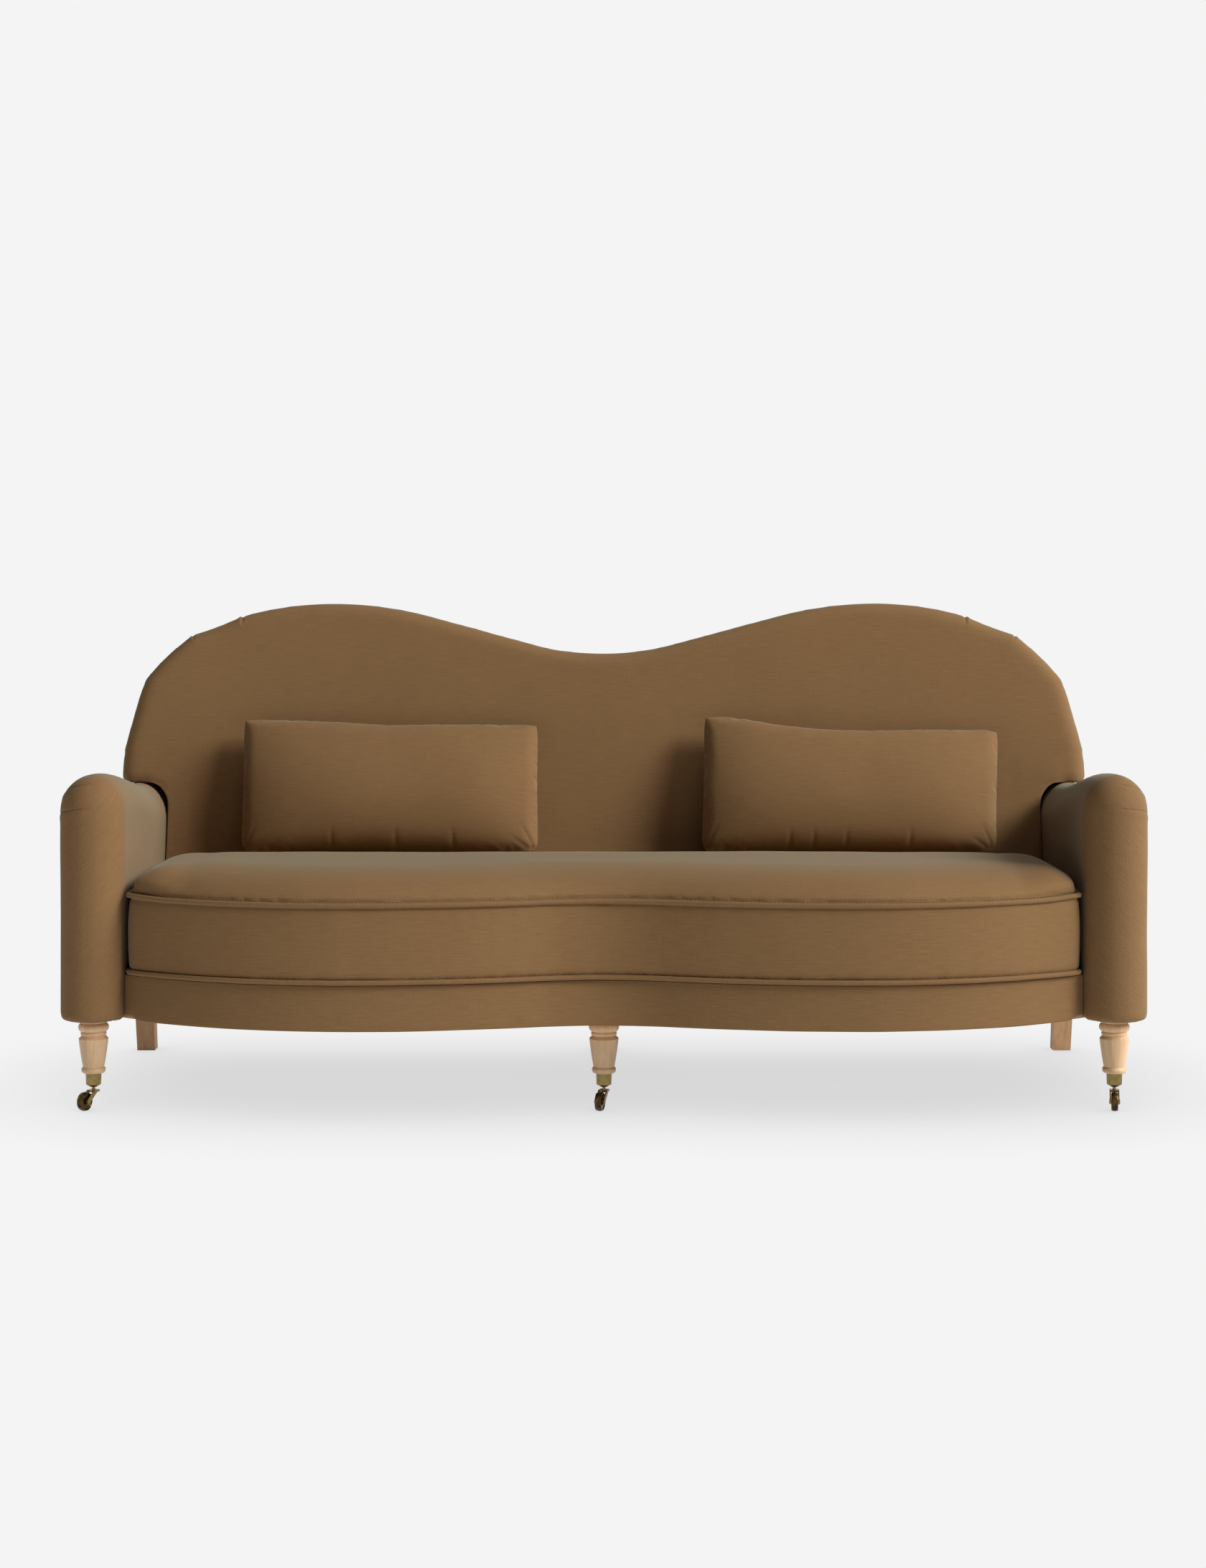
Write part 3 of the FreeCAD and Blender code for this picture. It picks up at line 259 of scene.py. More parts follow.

# %% [markdown]
# ## Wood, metal and the hidden cloths
# The turned legs are pale oak with a satin finish: long, fine grain along the leg with darker pores.
# The square rear legs get a darker, browner copy of the oak: painted shade for their place under the
# sofa. The caster parts are aged brass, warm and cloudy, and the wheels are darker. What is only seen
# when the cushion is lifted or the sofa is turned over gets its own finish too.


# %% Wood
def wood(name, pale, dark, roughness, gloss):
    """Grain that runs along Z: long soft bands with fine dark pores."""
    material, tree, shader = new_material(name, pale, roughness)
    place = add(tree, "TexCoord", {}).outputs["Object"]
    stretched = add(tree, "Mapping", {"Vector": place, "Scale": (1.0, 1.0, 0.06)}).outputs["Vector"]
    band = add(tree, "TexNoise", {"Vector": stretched, "Scale": 95.0, "Detail": 5.0,
                                  "Roughness": 0.6, "Distortion": 0.6}).outputs["Fac"]
    pore = speckle(tree, stretched, 620.0, 2.0)
    pores = add(tree, "MapRange", {"Value": pore, "From Min": 0.58, "From Max": 0.72}).outputs["Result"]
    grain = times(tree, pores, 0.22, times(tree, band, 1.5, -0.45))
    fill(shader, {"Base Color": blend_colours(tree, grain, pale, dark), "Coat Weight": gloss,
                  "Normal": relief(tree, grain, 0.25, 0.3 * MM, invert=True), "Coat Roughness": 0.3})
    return material


leg_wood = wood("leg_oak", srgb(232, 196, 154), srgb(196, 152, 106), 0.5, 0.10)
# A darker, browner copy of the leg oak for the rear legs: painted shade for their place under the sofa.
shaded_rear_leg_wood = wood("rear_leg_oak_painted_shade", srgb(214, 167, 122), srgb(170, 122, 82), 0.6, 0.0)
frame_wood = wood("frame_hardwood", srgb(198, 164, 118), srgb(160, 124, 82), 0.75, 0.0)


# %% Metal
def metal(name, colour, stain, roughness, patina):
    """Metal with cloudy tarnish; patina is how much of the stain colour shows."""
    material, tree, shader = new_material(name, colour, roughness)
    place = add(tree, "TexCoord", {}).outputs["Object"]
    cloud = speckle(tree, place, 130.0, 4.0)
    scratch = speckle(tree, place, 900.0, 2.0)
    cloudy = add(tree, "MapRange", {"Value": cloud, "From Min": 0.4, "From Max": 0.68}).outputs["Result"]
    tarnish = times(tree, cloudy, patina)
    rough = times(tree, scratch, 0.12, roughness - 0.06)
    fill(shader, {"Base Color": blend_colours(tree, tarnish, colour, stain), "Metallic": 1.0,
                  "Roughness": times(tree, tarnish, 0.22, rough),
                  "Normal": relief(tree, scratch, 0.12, 0.1 * MM)})
    return material


brass = metal("aged_brass", srgb(146, 126, 78), srgb(96, 80, 46), 0.30, 0.4)
wheel_brass = metal("dark_brass", srgb(88, 70, 42), srgb(42, 32, 20), 0.18, 0.9)
spring_steel = metal("oiled_spring_steel", srgb(128, 128, 130), srgb(74, 70, 66), 0.42, 0.7)
fixing_steel = metal("zinc_plated_steel", srgb(186, 187, 190), srgb(150, 150, 150), 0.3, 0.5)


# %% Hidden cloths
def plain_cloth(name, colour, pitch, depth):
    """Square weave of equal threads, for webbing, felt and the dust cover."""
    material, tree, shader = new_material(name, colour, 0.95)
    across, up = weave_from_place(tree, *FLAT)
    place = add(tree, "TexCoord", {}).outputs["Object"]
    lump = speckle(tree, place, 60.0, 4.0)
    threads = [ridges(tree, way, pitch, 1.5, lump) for way in (across, up)]
    cloth = times(tree, *threads)
    dark = tuple(part * 0.72 for part in colour)
    shade = times(tree, lump, 0.6, times(tree, cloth, 0.4))
    fill(shader, {"Base Color": blend_colours(tree, shade, dark, colour),
                  "Normal": relief(tree, cloth, depth, 0.5 * MM)})
    return material


felt = plain_cloth("felt_and_foam", srgb(222, 214, 198), 5 * MM, 0.3)
jute = plain_cloth("jute_webbing", srgb(160, 134, 96), 3 * MM, 0.8)
cambric = plain_cloth("black_dust_cloth", srgb(34, 33, 32), 1.6 * MM, 0.5)

# %% [markdown]
# The record names one material slot for each node, so one table from slot to material finishes all.

# %% Finish the frame's own nodes
FINISHES = {"frame_wood": frame_wood, "leg_wood": leg_wood, "padding": felt, "seat_foam": felt,
            "pillow_filling": felt, "back_fabric": back_fabric, "arm_fabric": arm_fabrics["right"],
            "base_fabric": base_fabric, "seat_fabric": seat_fabric, "pillow_fabric": pillow_fabric,
            "welt_fabric": welt_fabric, "webbing": jute, "dust_cloth": cambric,
            "spring_steel": spring_steel, "fixing_steel": fixing_steel, "brass": brass,
            "wheel_brass": wheel_brass}
for part in frame["record"]["subparts"]:
    mesh = nodes[part["node"]].data
    mesh.materials.clear()
    # The rear legs take the copy of the oak with painted shade.
    is_rear_leg = part["node"].endswith("_rear_leg")
    mesh.materials.append(shaded_rear_leg_wood if is_rear_leg else FINISHES[part["material_slot"]])


# %% [markdown]
# ## Helpers for soft pieces
# A padded piece starts from a copy of its solid, so it has exactly the right place and size. A voxel
# remesh turns that copy into an even skin of small quads, a few rounds of smoothing take off the
# steps, and then every point may move along its normal by a rule: out by the thickness of the
# fabric, in at a seam or a fold.


# %% Mesh helpers
SKIN_ROUNDS = 3                   # rounds of smoothing after the remesh


@contextmanager
def editing(piece):
    """Opens the piece's mesh for bmesh operators and writes it back at the end."""
    bm = bmesh.new()
    bm.from_mesh(piece.data)
    yield bm
    bm.to_mesh(piece.data)
    bm.free()


def face_outwards(bm):
    bmesh.ops.recalc_face_normals(bm, faces=bm.faces)


def copy_of(node):
    """The mesh of one of the frame's nodes, with doubled points joined."""
    bm = bmesh.new()
    bm.from_mesh(nodes[node].data)
    bmesh.ops.remove_doubles(bm, verts=bm.verts, dist=0.01 * MM)
    return bm


def put_in_scene(name, data):
    made = bpy.data.objects.new(name, data)
    scene.collection.objects.link(made)
    return made


def make_object(name, bm, material):
    mesh = bpy.data.meshes.new(name)
    bm.to_mesh(mesh)
    bm.free()
    mesh.materials.append(material)
    return put_in_scene(name, mesh)


def apply_modifiers(piece):
    """Replaces the piece's mesh by what its modifiers make of it."""
    graph = bpy.context.evaluated_depsgraph_get()
    made = bpy.data.meshes.new_from_object(piece.evaluated_get(graph), depsgraph=graph)
    old = piece.data
    piece.modifiers.clear()
    piece.data = made
    made.name = old.name
    bpy.data.meshes.remove(old)


def relax(piece, inside, rounds):
    """Smooths the points of a region, so that a groove there runs evenly."""
    with editing(piece) as bm:
        verts = [vert for vert in bm.verts if inside(vert.co)]
        for _ in range(rounds):
            bmesh.ops.smooth_vert(bm, verts=verts, factor=0.5, use_axis_x=True, use_axis_y=True,
                                  use_axis_z=True)


def even_skin(name, node, voxel, material):
    """A copy of a node's solid as an even, smoothed skin of small quads."""
    piece = make_object(name, copy_of(node), material)
    remesh = piece.modifiers.new("even skin", "REMESH")
    remesh.mode = "VOXEL"
    remesh.voxel_size = voxel
    apply_modifiers(piece)
    relax(piece, lambda place: True, SKIN_ROUNDS)
    if not piece.data.materials:
        piece.data.materials.append(material)
    return piece


def refine(piece, inside, cuts):
    """Splits the edges whose middles lie in a region, for details finer than the skin."""
    with editing(piece) as bm:
        edges = [edge for edge in bm.edges if inside((edge.verts[0].co + edge.verts[1].co) / 2)]
        bmesh.ops.subdivide_edges(bm, edges=edges, cuts=cuts, use_grid_fill=True)
        bmesh.ops.triangulate(bm, faces=[face for face in bm.faces if len(face.verts) > 4])


def shift(piece, rule):
    """Moves every point by the vector rule(place, normal)."""
    with editing(piece) as bm:
        bm.normal_update()
        moves = [(vert, rule(vert.co, vert.normal)) for vert in bm.verts]
        for vert, move in moves:
            vert.co += move


def sculpt(piece, rule):
    """Moves every point along its normal by rule(place, normal), in metres."""
    shift(piece, lambda place, normal: normal * rule(place, normal))
    with editing(piece) as bm:
        face_outwards(bm)
    piece.data.shade_smooth()


def ease(value, start, end):
    """0 below start and 1 above end, smooth between; start may be the larger."""
    part = min(max((value - start) / (end - start), 0.0), 1.0)
    return part * part * (3 - 2 * part)


def ripple(place, wavelength, depth):
    """A soft, uneven swell of the stuffing."""
    return depth * noise.noise(place / wavelength)


# %% [markdown]
# ## The serpentine front line
# Seen from above, the seat's front is a hollow arc in the middle and a swell on each side, joined
# without a corner. The welts, the base band and the deck follow this line, moved in by different
# amounts. Where two arcs touch, the distance between their centres is the sum of their radii, which
# gives the radius of the arc that joins them.

# %% Front line
HOLLOW_Y = -391 * MM
SWELL_Y = welt_low[1] + WELT_R
SWELL_X = 510 * MM
HOLLOW_R = 450 * MM
OUTER_R = 747 * MM
CORNER_R = 30 * MM
ARC_STEP = 12 * MM
dip = SWELL_Y - HOLLOW_Y + HOLLOW_R
INNER_R = (SWELL_X ** 2 + dip ** 2 - HOLLOW_R ** 2) / (2 * (HOLLOW_R - dip))


def arc(centre, radius, start, end):
    """Points round a centre from one angle to another, in degrees from the +Y axis to +X."""
    count = max(2, round(abs(radians(end - start)) * radius / ARC_STEP))
    turns = [radians(start + (end - start) * i / count) for i in range(count + 1)]
    return [(centre[0] + radius * sin(t), centre[1] + radius * cos(t)) for t in turns]


def front_half(inset, end_x):
    """The right half of the front line, from the middle out to end_x."""
    hollow = (0.0, HOLLOW_Y - HOLLOW_R)
    inner = (SWELL_X, SWELL_Y + INNER_R)
    outer = (SWELL_X, SWELL_Y + OUTER_R)
    meet = degrees(atan2(inner[0] - hollow[0], inner[1] - hollow[1]))
    reach = degrees(asin((end_x - SWELL_X) / (OUTER_R - inset)))
    points = arc(hollow, HOLLOW_R + inset, 0.0, meet)
    points += arc(inner, INNER_R - inset, meet + 180, 180.0)[1:]
    points += arc(outer, OUTER_R - inset, 180.0, 180.0 - reach)[1:]
    return points


def seat_outline(inset, half_w, rear_y):
    """The whole closed plan of the seat, with rounded corners."""
    side_x = half_w - inset
    back_y = rear_y - inset
    centre_x = side_x - CORNER_R
    outer_y = SWELL_Y + OUTER_R
    outer_r = OUTER_R - inset - CORNER_R
    centre_y = outer_y - sqrt(outer_r ** 2 - (centre_x - SWELL_X) ** 2)
    lean = degrees(asin((centre_x - SWELL_X) / outer_r))
    half = front_half(inset, SWELL_X + (OUTER_R - inset) * sin(radians(lean)))
    half += arc((centre_x, centre_y), CORNER_R, 180.0 - lean, 90.0)[1:]
    count = round((back_y - CORNER_R - centre_y) / ARC_STEP)
    half += [(side_x, centre_y + (back_y - CORNER_R - centre_y) * i / count) for i in range(1, count)]
    half += arc((centre_x, back_y - CORNER_R), CORNER_R, 90.0, 0.0)
    count = round(centre_x / ARC_STEP)
    half += [(centre_x * (1 - i / count), back_y) for i in range(1, count + 1)]
    mirrored = [(-x, y) for x, y in reversed(half[1:-1])]
    return half + mirrored


print("arc between hollow and swell", round(INNER_R, 3))

# %% [markdown]
# ## The seat cushion
# One long boxed cushion: an upright band between two welts, and a top panel that crowns and then
# runs nearly level. The stuffing is never dead flat, so its skin gets long, shallow swells, and the
# fabric draws in by a crease and short puckers where it is sewn to the welts. The skin is refined
# along the seams first and relaxed afterwards, so that the crease runs evenly.

# %% Seat cushion
CUSHION_VOXEL = 8 * MM
BOX_FILL = 5.5 * MM               # the boxing comes out to the middle of the welts
CREASE = 2.8 * MM                 # depth of the crease on both sides of a welt
CREASE_AWAY = 6.0 * MM
CREASE_WIDTH = 2.0 * MM
END_SPREAD = 4 * MM               # the ends swell against the arms lower down
SHOULDER_FILL = 12 * MM           # plumpness of the crown near its ends
REAR_FALL = 23 * MM               # the top falls towards the back


def pucker(place, distance, reach, depth):
    """Short gathers across a seam that die out within reach of it."""
    near = ease(distance, reach, 0.0)
    wave = noise.noise(Vector((place.x / (26 * MM), place.y / (26 * MM), 7.0)))
    return near * depth * wave


def from_seam(place):
    return min(abs(place.z - SEAM_Z), abs(place.z - BOTTOM_SEAM_Z))


def cushion_rule(place, normal):
    seam = from_seam(place)
    if place.z < BOTTOM_SEAM_Z - WELT_R / 2:
        return 0.0
    move = ripple(place, 0.34, 1.6 * MM) + ripple(place, 0.11, 0.6 * MM)
    move += pucker(place, seam, 34 * MM, 1.2 * MM)
    move += SKIN + (BOX_FILL - SKIN) * ease(place.z, SEAM_Z + 30 * MM, SEAM_Z + 8 * MM)
    move -= CREASE * exp(-((seam - CREASE_AWAY) / CREASE_WIDTH) ** 2)
    end = CUSHION_HALF_W - abs(place.x)
    plump = ease(end, 5 * MM, 30 * MM) * ease(end, 130 * MM, 50 * MM)
    move += SHOULDER_FILL * plump * ease(place.z, SEAM_Z + 6 * MM, SEAM_Z + 22 * MM)
    return move


def cushion_shift(place, normal):
    level = (place.z - BOTTOM_SEAM_Z) / (SEAM_Z - BOTTOM_SEAM_Z)
    boxing = (END_SPREAD + 8 * MM * level * (1 - level)) if 0 < level < 1 else END_SPREAD
    spread = boxing if level < 0.5 else max(boxing - 2 * MM * ease(level, 0.6, 1.0), 0.0)
    spread *= ease(abs(place.x), CUSHION_HALF_W - 0.10, CUSHION_HALF_W - 0.01)
    spread *= ease(place.z, SEAM_Z + 70 * MM, SEAM_Z + 20 * MM)
    top = ease(place.z, SEAM_Z + 12 * MM, SEAM_Z + 45 * MM)
    fall = REAR_FALL * top * ease(place.y, -0.08, 0.24)
    return Vector((copysign(spread, place.x), 0, -fall))


def near_seam(place):
    return from_seam(place) < 10 * MM and place.y < 0.06


cushion = even_skin("seat_cushion", "seat_cushion_core", CUSHION_VOXEL, seat_fabric)
refine(cushion, near_seam, 2)
sculpt(cushion, cushion_rule)
relax(cushion, near_seam, 2)
shift(cushion, cushion_shift)
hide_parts("seat_cushion_core", "seat_cushion_cover")
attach(cushion, "seat_cushion")
print("cushion faces", len(cushion.data.polygons))

# %% [markdown]
# ## The welts
# A welt is a strip of fabric folded round a cord and caught in the seam: a tube along the cushion's
# plan. It is a little uneven, so its line wanders by a fraction of a millimetre, and near the arms
# the upper one lifts with the corner of the cushion.

# %% Welts
WELT_SIDES = 12
WELT_SPREAD = 2.5 * MM
END_LIFT = 4 * MM


def ring_edges(ring):
    return {edge for vert in ring for edge in vert.link_edges if edge.other_vert(vert) in ring}


def tube(name, path, radius, material):
    """A closed tube round a path, made by bridging one ring to the next."""
    bm = bmesh.new()
    rings = []
    for i, here in enumerate(path):
        heading = (path[(i + 1) % len(path)] - path[i - 1]).normalized()
        place = Matrix.Translation(here) @ heading.to_track_quat("Z", "Y").to_matrix().to_4x4()
        ring = bmesh.ops.create_circle(bm, segments=WELT_SIDES, radius=radius, matrix=place)
        rings.append(ring["verts"])
    for ring, following in zip(rings, rings[1:] + rings[:1]):
        bmesh.ops.bridge_loops(bm, edges=list(ring_edges(ring) | ring_edges(following)))
    face_outwards(bm)
    piece = make_object(name, bm, material)
    piece.data.shade_smooth()
    return piece


def welt_path(z, lift, spread):
    points = []
    for x, y in seat_outline(0.0, CUSHION_HALF_W, CUSHION_REAR_Y):
        wander = 0.3 * MM * noise.noise(Vector((x * 30, y * 30, z)))
        end = ease(abs(x), CUSHION_HALF_W - 0.14, CUSHION_HALF_W)
        rise = lift * ease(abs(x), CUSHION_HALF_W - 0.09, CUSHION_HALF_W)
        points.append(Vector((x + copysign(spread, x) * end, y, z + rise + wander)))
    return points


for name, seam_z, lift, spread in (("seat_cushion_top_welt", SEAM_Z, END_LIFT, -3 * MM),
                                   ("seat_cushion_bottom_welt", BOTTOM_SEAM_Z, 0.0, WELT_SPREAD)):
    welt = tube(name + "_cord", welt_path(seam_z, lift, spread), WELT_R, welt_fabric)
    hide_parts(name)
    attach(welt, "seat_cushion")

# %% [markdown]
# The seam above the upper welt shows its thread: short dark stitches lie in the crease, one every
# eight millimetres. Each is a tiny box, and all of them are one object.

# %% Stitches
STITCH_STEP = 8 * MM
STITCH = Vector((4.2, 1.0, 0.9)) * MM
STITCH_Z = SEAM_Z + 6.2 * MM
thread = new_material("seam_thread", srgb(84, 61, 38), 0.8)[0]
bm = bmesh.new()
outline = [Vector((x, y, 0)) for x, y in seat_outline(2.6 * MM, CUSHION_HALF_W, CUSHION_REAR_Y)]
done = 0.0
for here, following in zip(outline, outline[1:]):
    length = (following - here).length
    heading = (following - here).normalized()
    while done < length:
        at = here + heading * done
        if at.y < 0.1:
            turn = heading.to_track_quat("X", "Z").to_matrix().to_4x4()
            end = abs(at.x) - CUSHION_HALF_W
            lift = Vector((0, 0, STITCH_Z + END_LIFT * ease(end, -0.09, 0.0)))
            shape = Matrix.Translation(at + lift) @ turn @ Matrix.Diagonal((*STITCH, 1))
            bmesh.ops.create_cube(bm, size=1.0, matrix=shape)
        done += STITCH_STEP
    done -= length
stitches = make_object("seat_stitches", bm, thread)
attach(stitches, "seat_cushion")
print("stitches", len(stitches.data.polygons) // 6)

# %% [markdown]
# ## The arms
# Each arm is padded all round a wooden frame and ends in a half-round front. The cover is one piece
# from the outside over the top, and at the front its fullness is taken up by two short darts on the
# outer side. A dart is a sewn line where the surface dips and swells below, so it is a narrow groove
# in the rule. The skin is refined there first, because a groove needs a few points across it.

# %% Arms
ARM_VOXEL = 6.5 * MM
ARM_REAR_Z = 622 * MM
ARM_FRONT_Z = arm_high[2]
ARM_FALL_END_Y = 240 * MM
ARM_CROWN_R = 55 * MM
DART_WIDTH = 1.1 * MM
DART_DEPTH = 2.0 * MM
DART_STARTS = (637 * MM, 594 * MM)
DART_RISES = (21 * MM, 17 * MM)
DART_END = 96.0                   # angle round the nose where the darts die out


def round_front(place, side):
    """Angle round the arm's front in degrees: 0 on the outer side, 90 straight ahead."""
    out = (place.x - side * ARM_X) * side
    return degrees(atan2(ARM_AXIS_Y - place.y, out))


def from_dart(place, side, start, rise):
    """How far a place lies above a dart's line."""
    part = min(max(round_front(place, side) / DART_END, 0.0), 1.0)
    return place.z - start - rise * (1 - (1 - part) ** 2)


def dart(place, side):
    angle = round_front(place, side)
    if place.y > ARM_AXIS_Y + 30 * MM or not -40 < angle < DART_END + 10:
        return 0.0
    fade = ease(angle, -30.0, 0.0) * ease(angle, DART_END + 4, DART_END - 25)
    depth = 0.0
    for start, rise in zip(DART_STARTS, DART_RISES):
        away = from_dart(place, side, start, rise)
        depth -= DART_DEPTH * exp(-(away / DART_WIDTH) ** 2)
        depth += 0.9 * MM * exp(-((away + 9 * MM) / (7 * MM)) ** 2)
    return fade * depth


def near_dart(side):
    def inside(place):
        angle = round_front(place, side)
        if place.y > ARM_AXIS_Y + 25 * MM or not -40 < angle < DART_END + 10:
            return False
        lines = zip(DART_STARTS, DART_RISES)
        return any(abs(from_dart(place, side, start, rise)) < 9 * MM for start, rise in lines)
    return inside


def arm_top(y):
    """Height of the arm's ridge, which falls smoothly from the front to the back."""
    travel = (y - ARM_AXIS_Y) / (ARM_FALL_END_Y - ARM_AXIS_Y)
    fall = 0.5 + 0.5 * cos(pi * min(max(travel, 0.0), 1.0))
    return ARM_REAR_Z + (ARM_FRONT_Z - ARM_REAR_Z) * fall


def lay_arm_cloth(piece, side):
    """Writes how far along and up the cloth each corner lies, as it wraps the arm."""
    layer = piece.data.uv_layers.new(name=UV_NAME)
    for face in piece.data.polygons:
        middle = face.center
        nose = middle.y < ARM_AXIS_Y
        inner = (middle.x - side * ARM_X) * side < 0
        for corner in face.loop_indices:
            at = piece.data.vertices[piece.data.loops[corner].vertex_index].co
            out = (at.x - side * ARM_X) * side
            ahead = ARM_AXIS_Y - at.y
            centre_z = arm_top(at.y) - ARM_CROWN_R
            reach = hypot(out, ahead) if nose else abs(out)
            lean = atan2(max(at.z - centre_z, 0.0), max(reach, 1e-6))
            up = min(at.z, centre_z) + ARM_CROWN_R * lean
            along = -ARM_R * atan2(ahead, out) if nose else -ahead
            if inner and not nose:
                up = 2 * (centre_z + ARM_CROWN_R * pi / 2) - up
            layer.data[corner].uv = (side * along, up)


def arm_rule(side):
    def rule(place, normal):
        down = max(-normal.z, 0.0) if place.z < UNDERSIDE_Z + 0.03 else 0.0
        swell = SKIN + ripple(place, 0.22, 1.6 * MM) + ripple(place, 0.07, 0.4 * MM)
        tuck = 3 * MM * ease(place.z, UNDERSIDE_Z + 12 * MM, UNDERSIDE_Z)
        return (swell - tuck + dart(place, side)) * (1 - down) + 4 * MM * down
    return rule


for name, side in SIDES.items():
    arm = even_skin(name + "_arm", name + "_arm_padding", ARM_VOXEL, arm_fabrics[name])
    refine(arm, near_dart(side), 4)
    sculpt(arm, arm_rule(side))
    lay_arm_cloth(arm, side)
    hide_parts(name + "_arm_cover", name + "_arm_padding")
    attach(arm, "root")
    print(name, "arm faces", len(arm.data.polygons))

# %% [markdown]
# ## The back
# The inside of the back is one padded panel whose fabric turns over a soft rim. Round each outer
# shoulder the fabric is folded at two places, so the outline there is a run of nearly straight
# stretches that meet at small nicks. At the foot of each side the pad comes down on the arm.

# %% Back
BACK_VOXEL = 8.5 * MM
SHOULDER_X = 0.7992
SHOULDER_Z = 0.7373
SHOULDER_R = 0.262
EAR_START = BACK_HALF_W - 0.05    # the pad meets the arm from here
EAR_END = 1.03                    # to here
EAR_TOP = 0.70
FOLDS = (4.5, 31.9, 64.4, 100.0)  # where the straight stretches meet, degrees from upright
NICKS = (4.5, 31.9)
FACET_DEPTH = 5.5 * MM
FACET_LIFT = 1.6 * MM
NICK_DEPTH = 3.0 * MM
NICK_WIDTH = 3.2 * MM
EAR_X = 1075 * MM
BACK_RAKE = radians(16.0)
FRONT = Vector((0, -cos(BACK_RAKE), sin(BACK_RAKE)))


def shoulder_place(place):
    x = abs(place.x) - SHOULDER_X
    z = place.z - SHOULDER_Z
    return hypot(x, z), degrees(atan2(x, z))


def facets(place):
    """How far the rim of a shoulder moves outwards at a place, in metres."""
    reach, turn = shoulder_place(place)
    if reach < SHOULDER_R - 0.09 or not FOLDS[0] - 6 < turn < FOLDS[-1]:
        return 0.0
    move = 0.0
    for start, end in zip(FOLDS, FOLDS[1:]):
        if start <= turn < end:
            part = (turn - start) / (end - start)
            move = FACET_LIFT - FACET_DEPTH * 4 * part * (1 - part)
    near = ease(reach, SHOULDER_R - 0.09, SHOULDER_R - 0.01)
    for nick in NICKS:
        away = radians(turn - nick) * reach / NICK_WIDTH
        rim = ease(reach, SHOULDER_R - 0.035, SHOULDER_R - 0.012)
        move += rim * (-NICK_DEPTH * exp(-away ** 2) + 1.2 * MM * exp(-(away - 1.8) ** 2))
    return move * near


def from_arm(place):
    """Distance from the arm's rounded top, which is a half ellipse, and the way away from it."""
    side = copysign(1.0, place.x)
    beside = place.x - side * ARM_X
    above = max(place.z - ARM_REAR_Z + ARM_CROWN_R, 0.0)
    share = max(hypot(beside / ARM_R, above / ARM_CROWN_R), 1e-6)
    away = Vector((beside, 0, above))
    return away.length * (1 - 1 / share), away.normalized()


def fill_ear(place, normal):
    """Brings the pad forward beside the arm's shoulder, so that it meets the arm in a fine line."""
    x = abs(place.x)
    if not EAR_START < x < EAR_END or place.z > EAR_TOP or normal.dot(FRONT) < -0.3:
        return Vector((0, 0, 0))
    behind = front_depth - place.dot(FRONT) - 1 * MM
    beyond = from_arm(place)[0]
    share = ease(x, EAR_START, EAR_START + 0.015) * ease(x, EAR_END, EAR_END - 0.03)
    share *= ease(place.z, EAR_TOP, EAR_TOP - 0.05) * (0.75 + 0.25 * ease(beyond, 0.0, 6 * MM))
    return FRONT * share * behind * ease(behind, 60 * MM, 45 * MM)


def meet_arm(place):
    """Draws what is near the arm's rounded top onto it."""
    x = abs(place.x)
    if not BACK_HALF_W - 0.01 < x < EAR_X + 0.01 or place.z > 0.67:
        return Vector((0, 0, 0))
    beyond, away = from_arm(place)
    share = ease(beyond, 20 * MM, 6 * MM) * ease(x, BACK_HALF_W - 0.008, BACK_HALF_W + 0.012)
    return away * -(beyond - 0.5 * MM) * share


def back_shift(place, normal):
    reach, turn = shoulder_place(place)
    move = facets(place)
    out = Vector((copysign(sin(radians(turn)), place.x), 0, cos(radians(turn))))
    return out * move + fill_ear(place, normal) + meet_arm(place)


def back_rule(place, normal):
    return SKIN + ripple(place, 0.30, 2.0 * MM) + ripple(place, 0.09, 0.5 * MM)


def on_shoulder(place):
    reach, turn = shoulder_place(place)
    return -2 < turn < 40 and reach > SHOULDER_R - 0.04


def beside_arm(place):
    return EAR_START < abs(place.x) < EAR_END and place.z < 0.68 and place.y < 0.26


back = even_skin("inside_back", "back_padding", BACK_VOXEL, back_fabric)
refine(back, on_shoulder, 2)
refine(back, beside_arm, 1)
sculpt(back, back_rule)
low_places = [vert.co for vert in back.data.vertices if abs(vert.co.x) < 0.9 and vert.co.z < 0.62]
front_depth = max(place.dot(FRONT) for place in low_places)
shift(back, back_shift)
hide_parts("back_padding", "back_cover")
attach(back, "root")
print("back faces", len(back.data.polygons))

# %% [markdown]
# ## The outside back
# A flat panel closes the rear. Its fabric is pulled tight over a board and sewn round the edge, so
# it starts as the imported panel, split into even strips by cutting planes, and bows out by a few
# millimetres in the middle.

# %% Outside back
PANEL_GRID = 0.03
PANEL_BOW = 2.5 * MM


def grid_cut(bm, axis, low, high, step):
    """Cuts the whole mesh by evenly spaced planes across one axis."""
    normal = Vector([1.0 if i == axis else 0.0 for i in range(3)])
    count = int((high - low) / step)
    for i in range(1, count + 1):
        everything = list(bm.verts) + list(bm.edges) + list(bm.faces)
        bmesh.ops.bisect_plane(bm, geom=everything, plane_co=normal * (low + i * step), plane_no=normal)


bm = copy_of("outside_back_panel")
bmesh.ops.dissolve_limit(bm, angle_limit=radians(1), verts=bm.verts, edges=bm.edges)
grid_cut(bm, 0, panel_low[0], panel_high[0], PANEL_GRID)
grid_cut(bm, 2, panel_low[2], panel_high[2], PANEL_GRID)
bmesh.ops.triangulate(bm, faces=[face for face in bm.faces if len(face.verts) > 4])
panel = make_object("outside_back", bm, back_fabric)


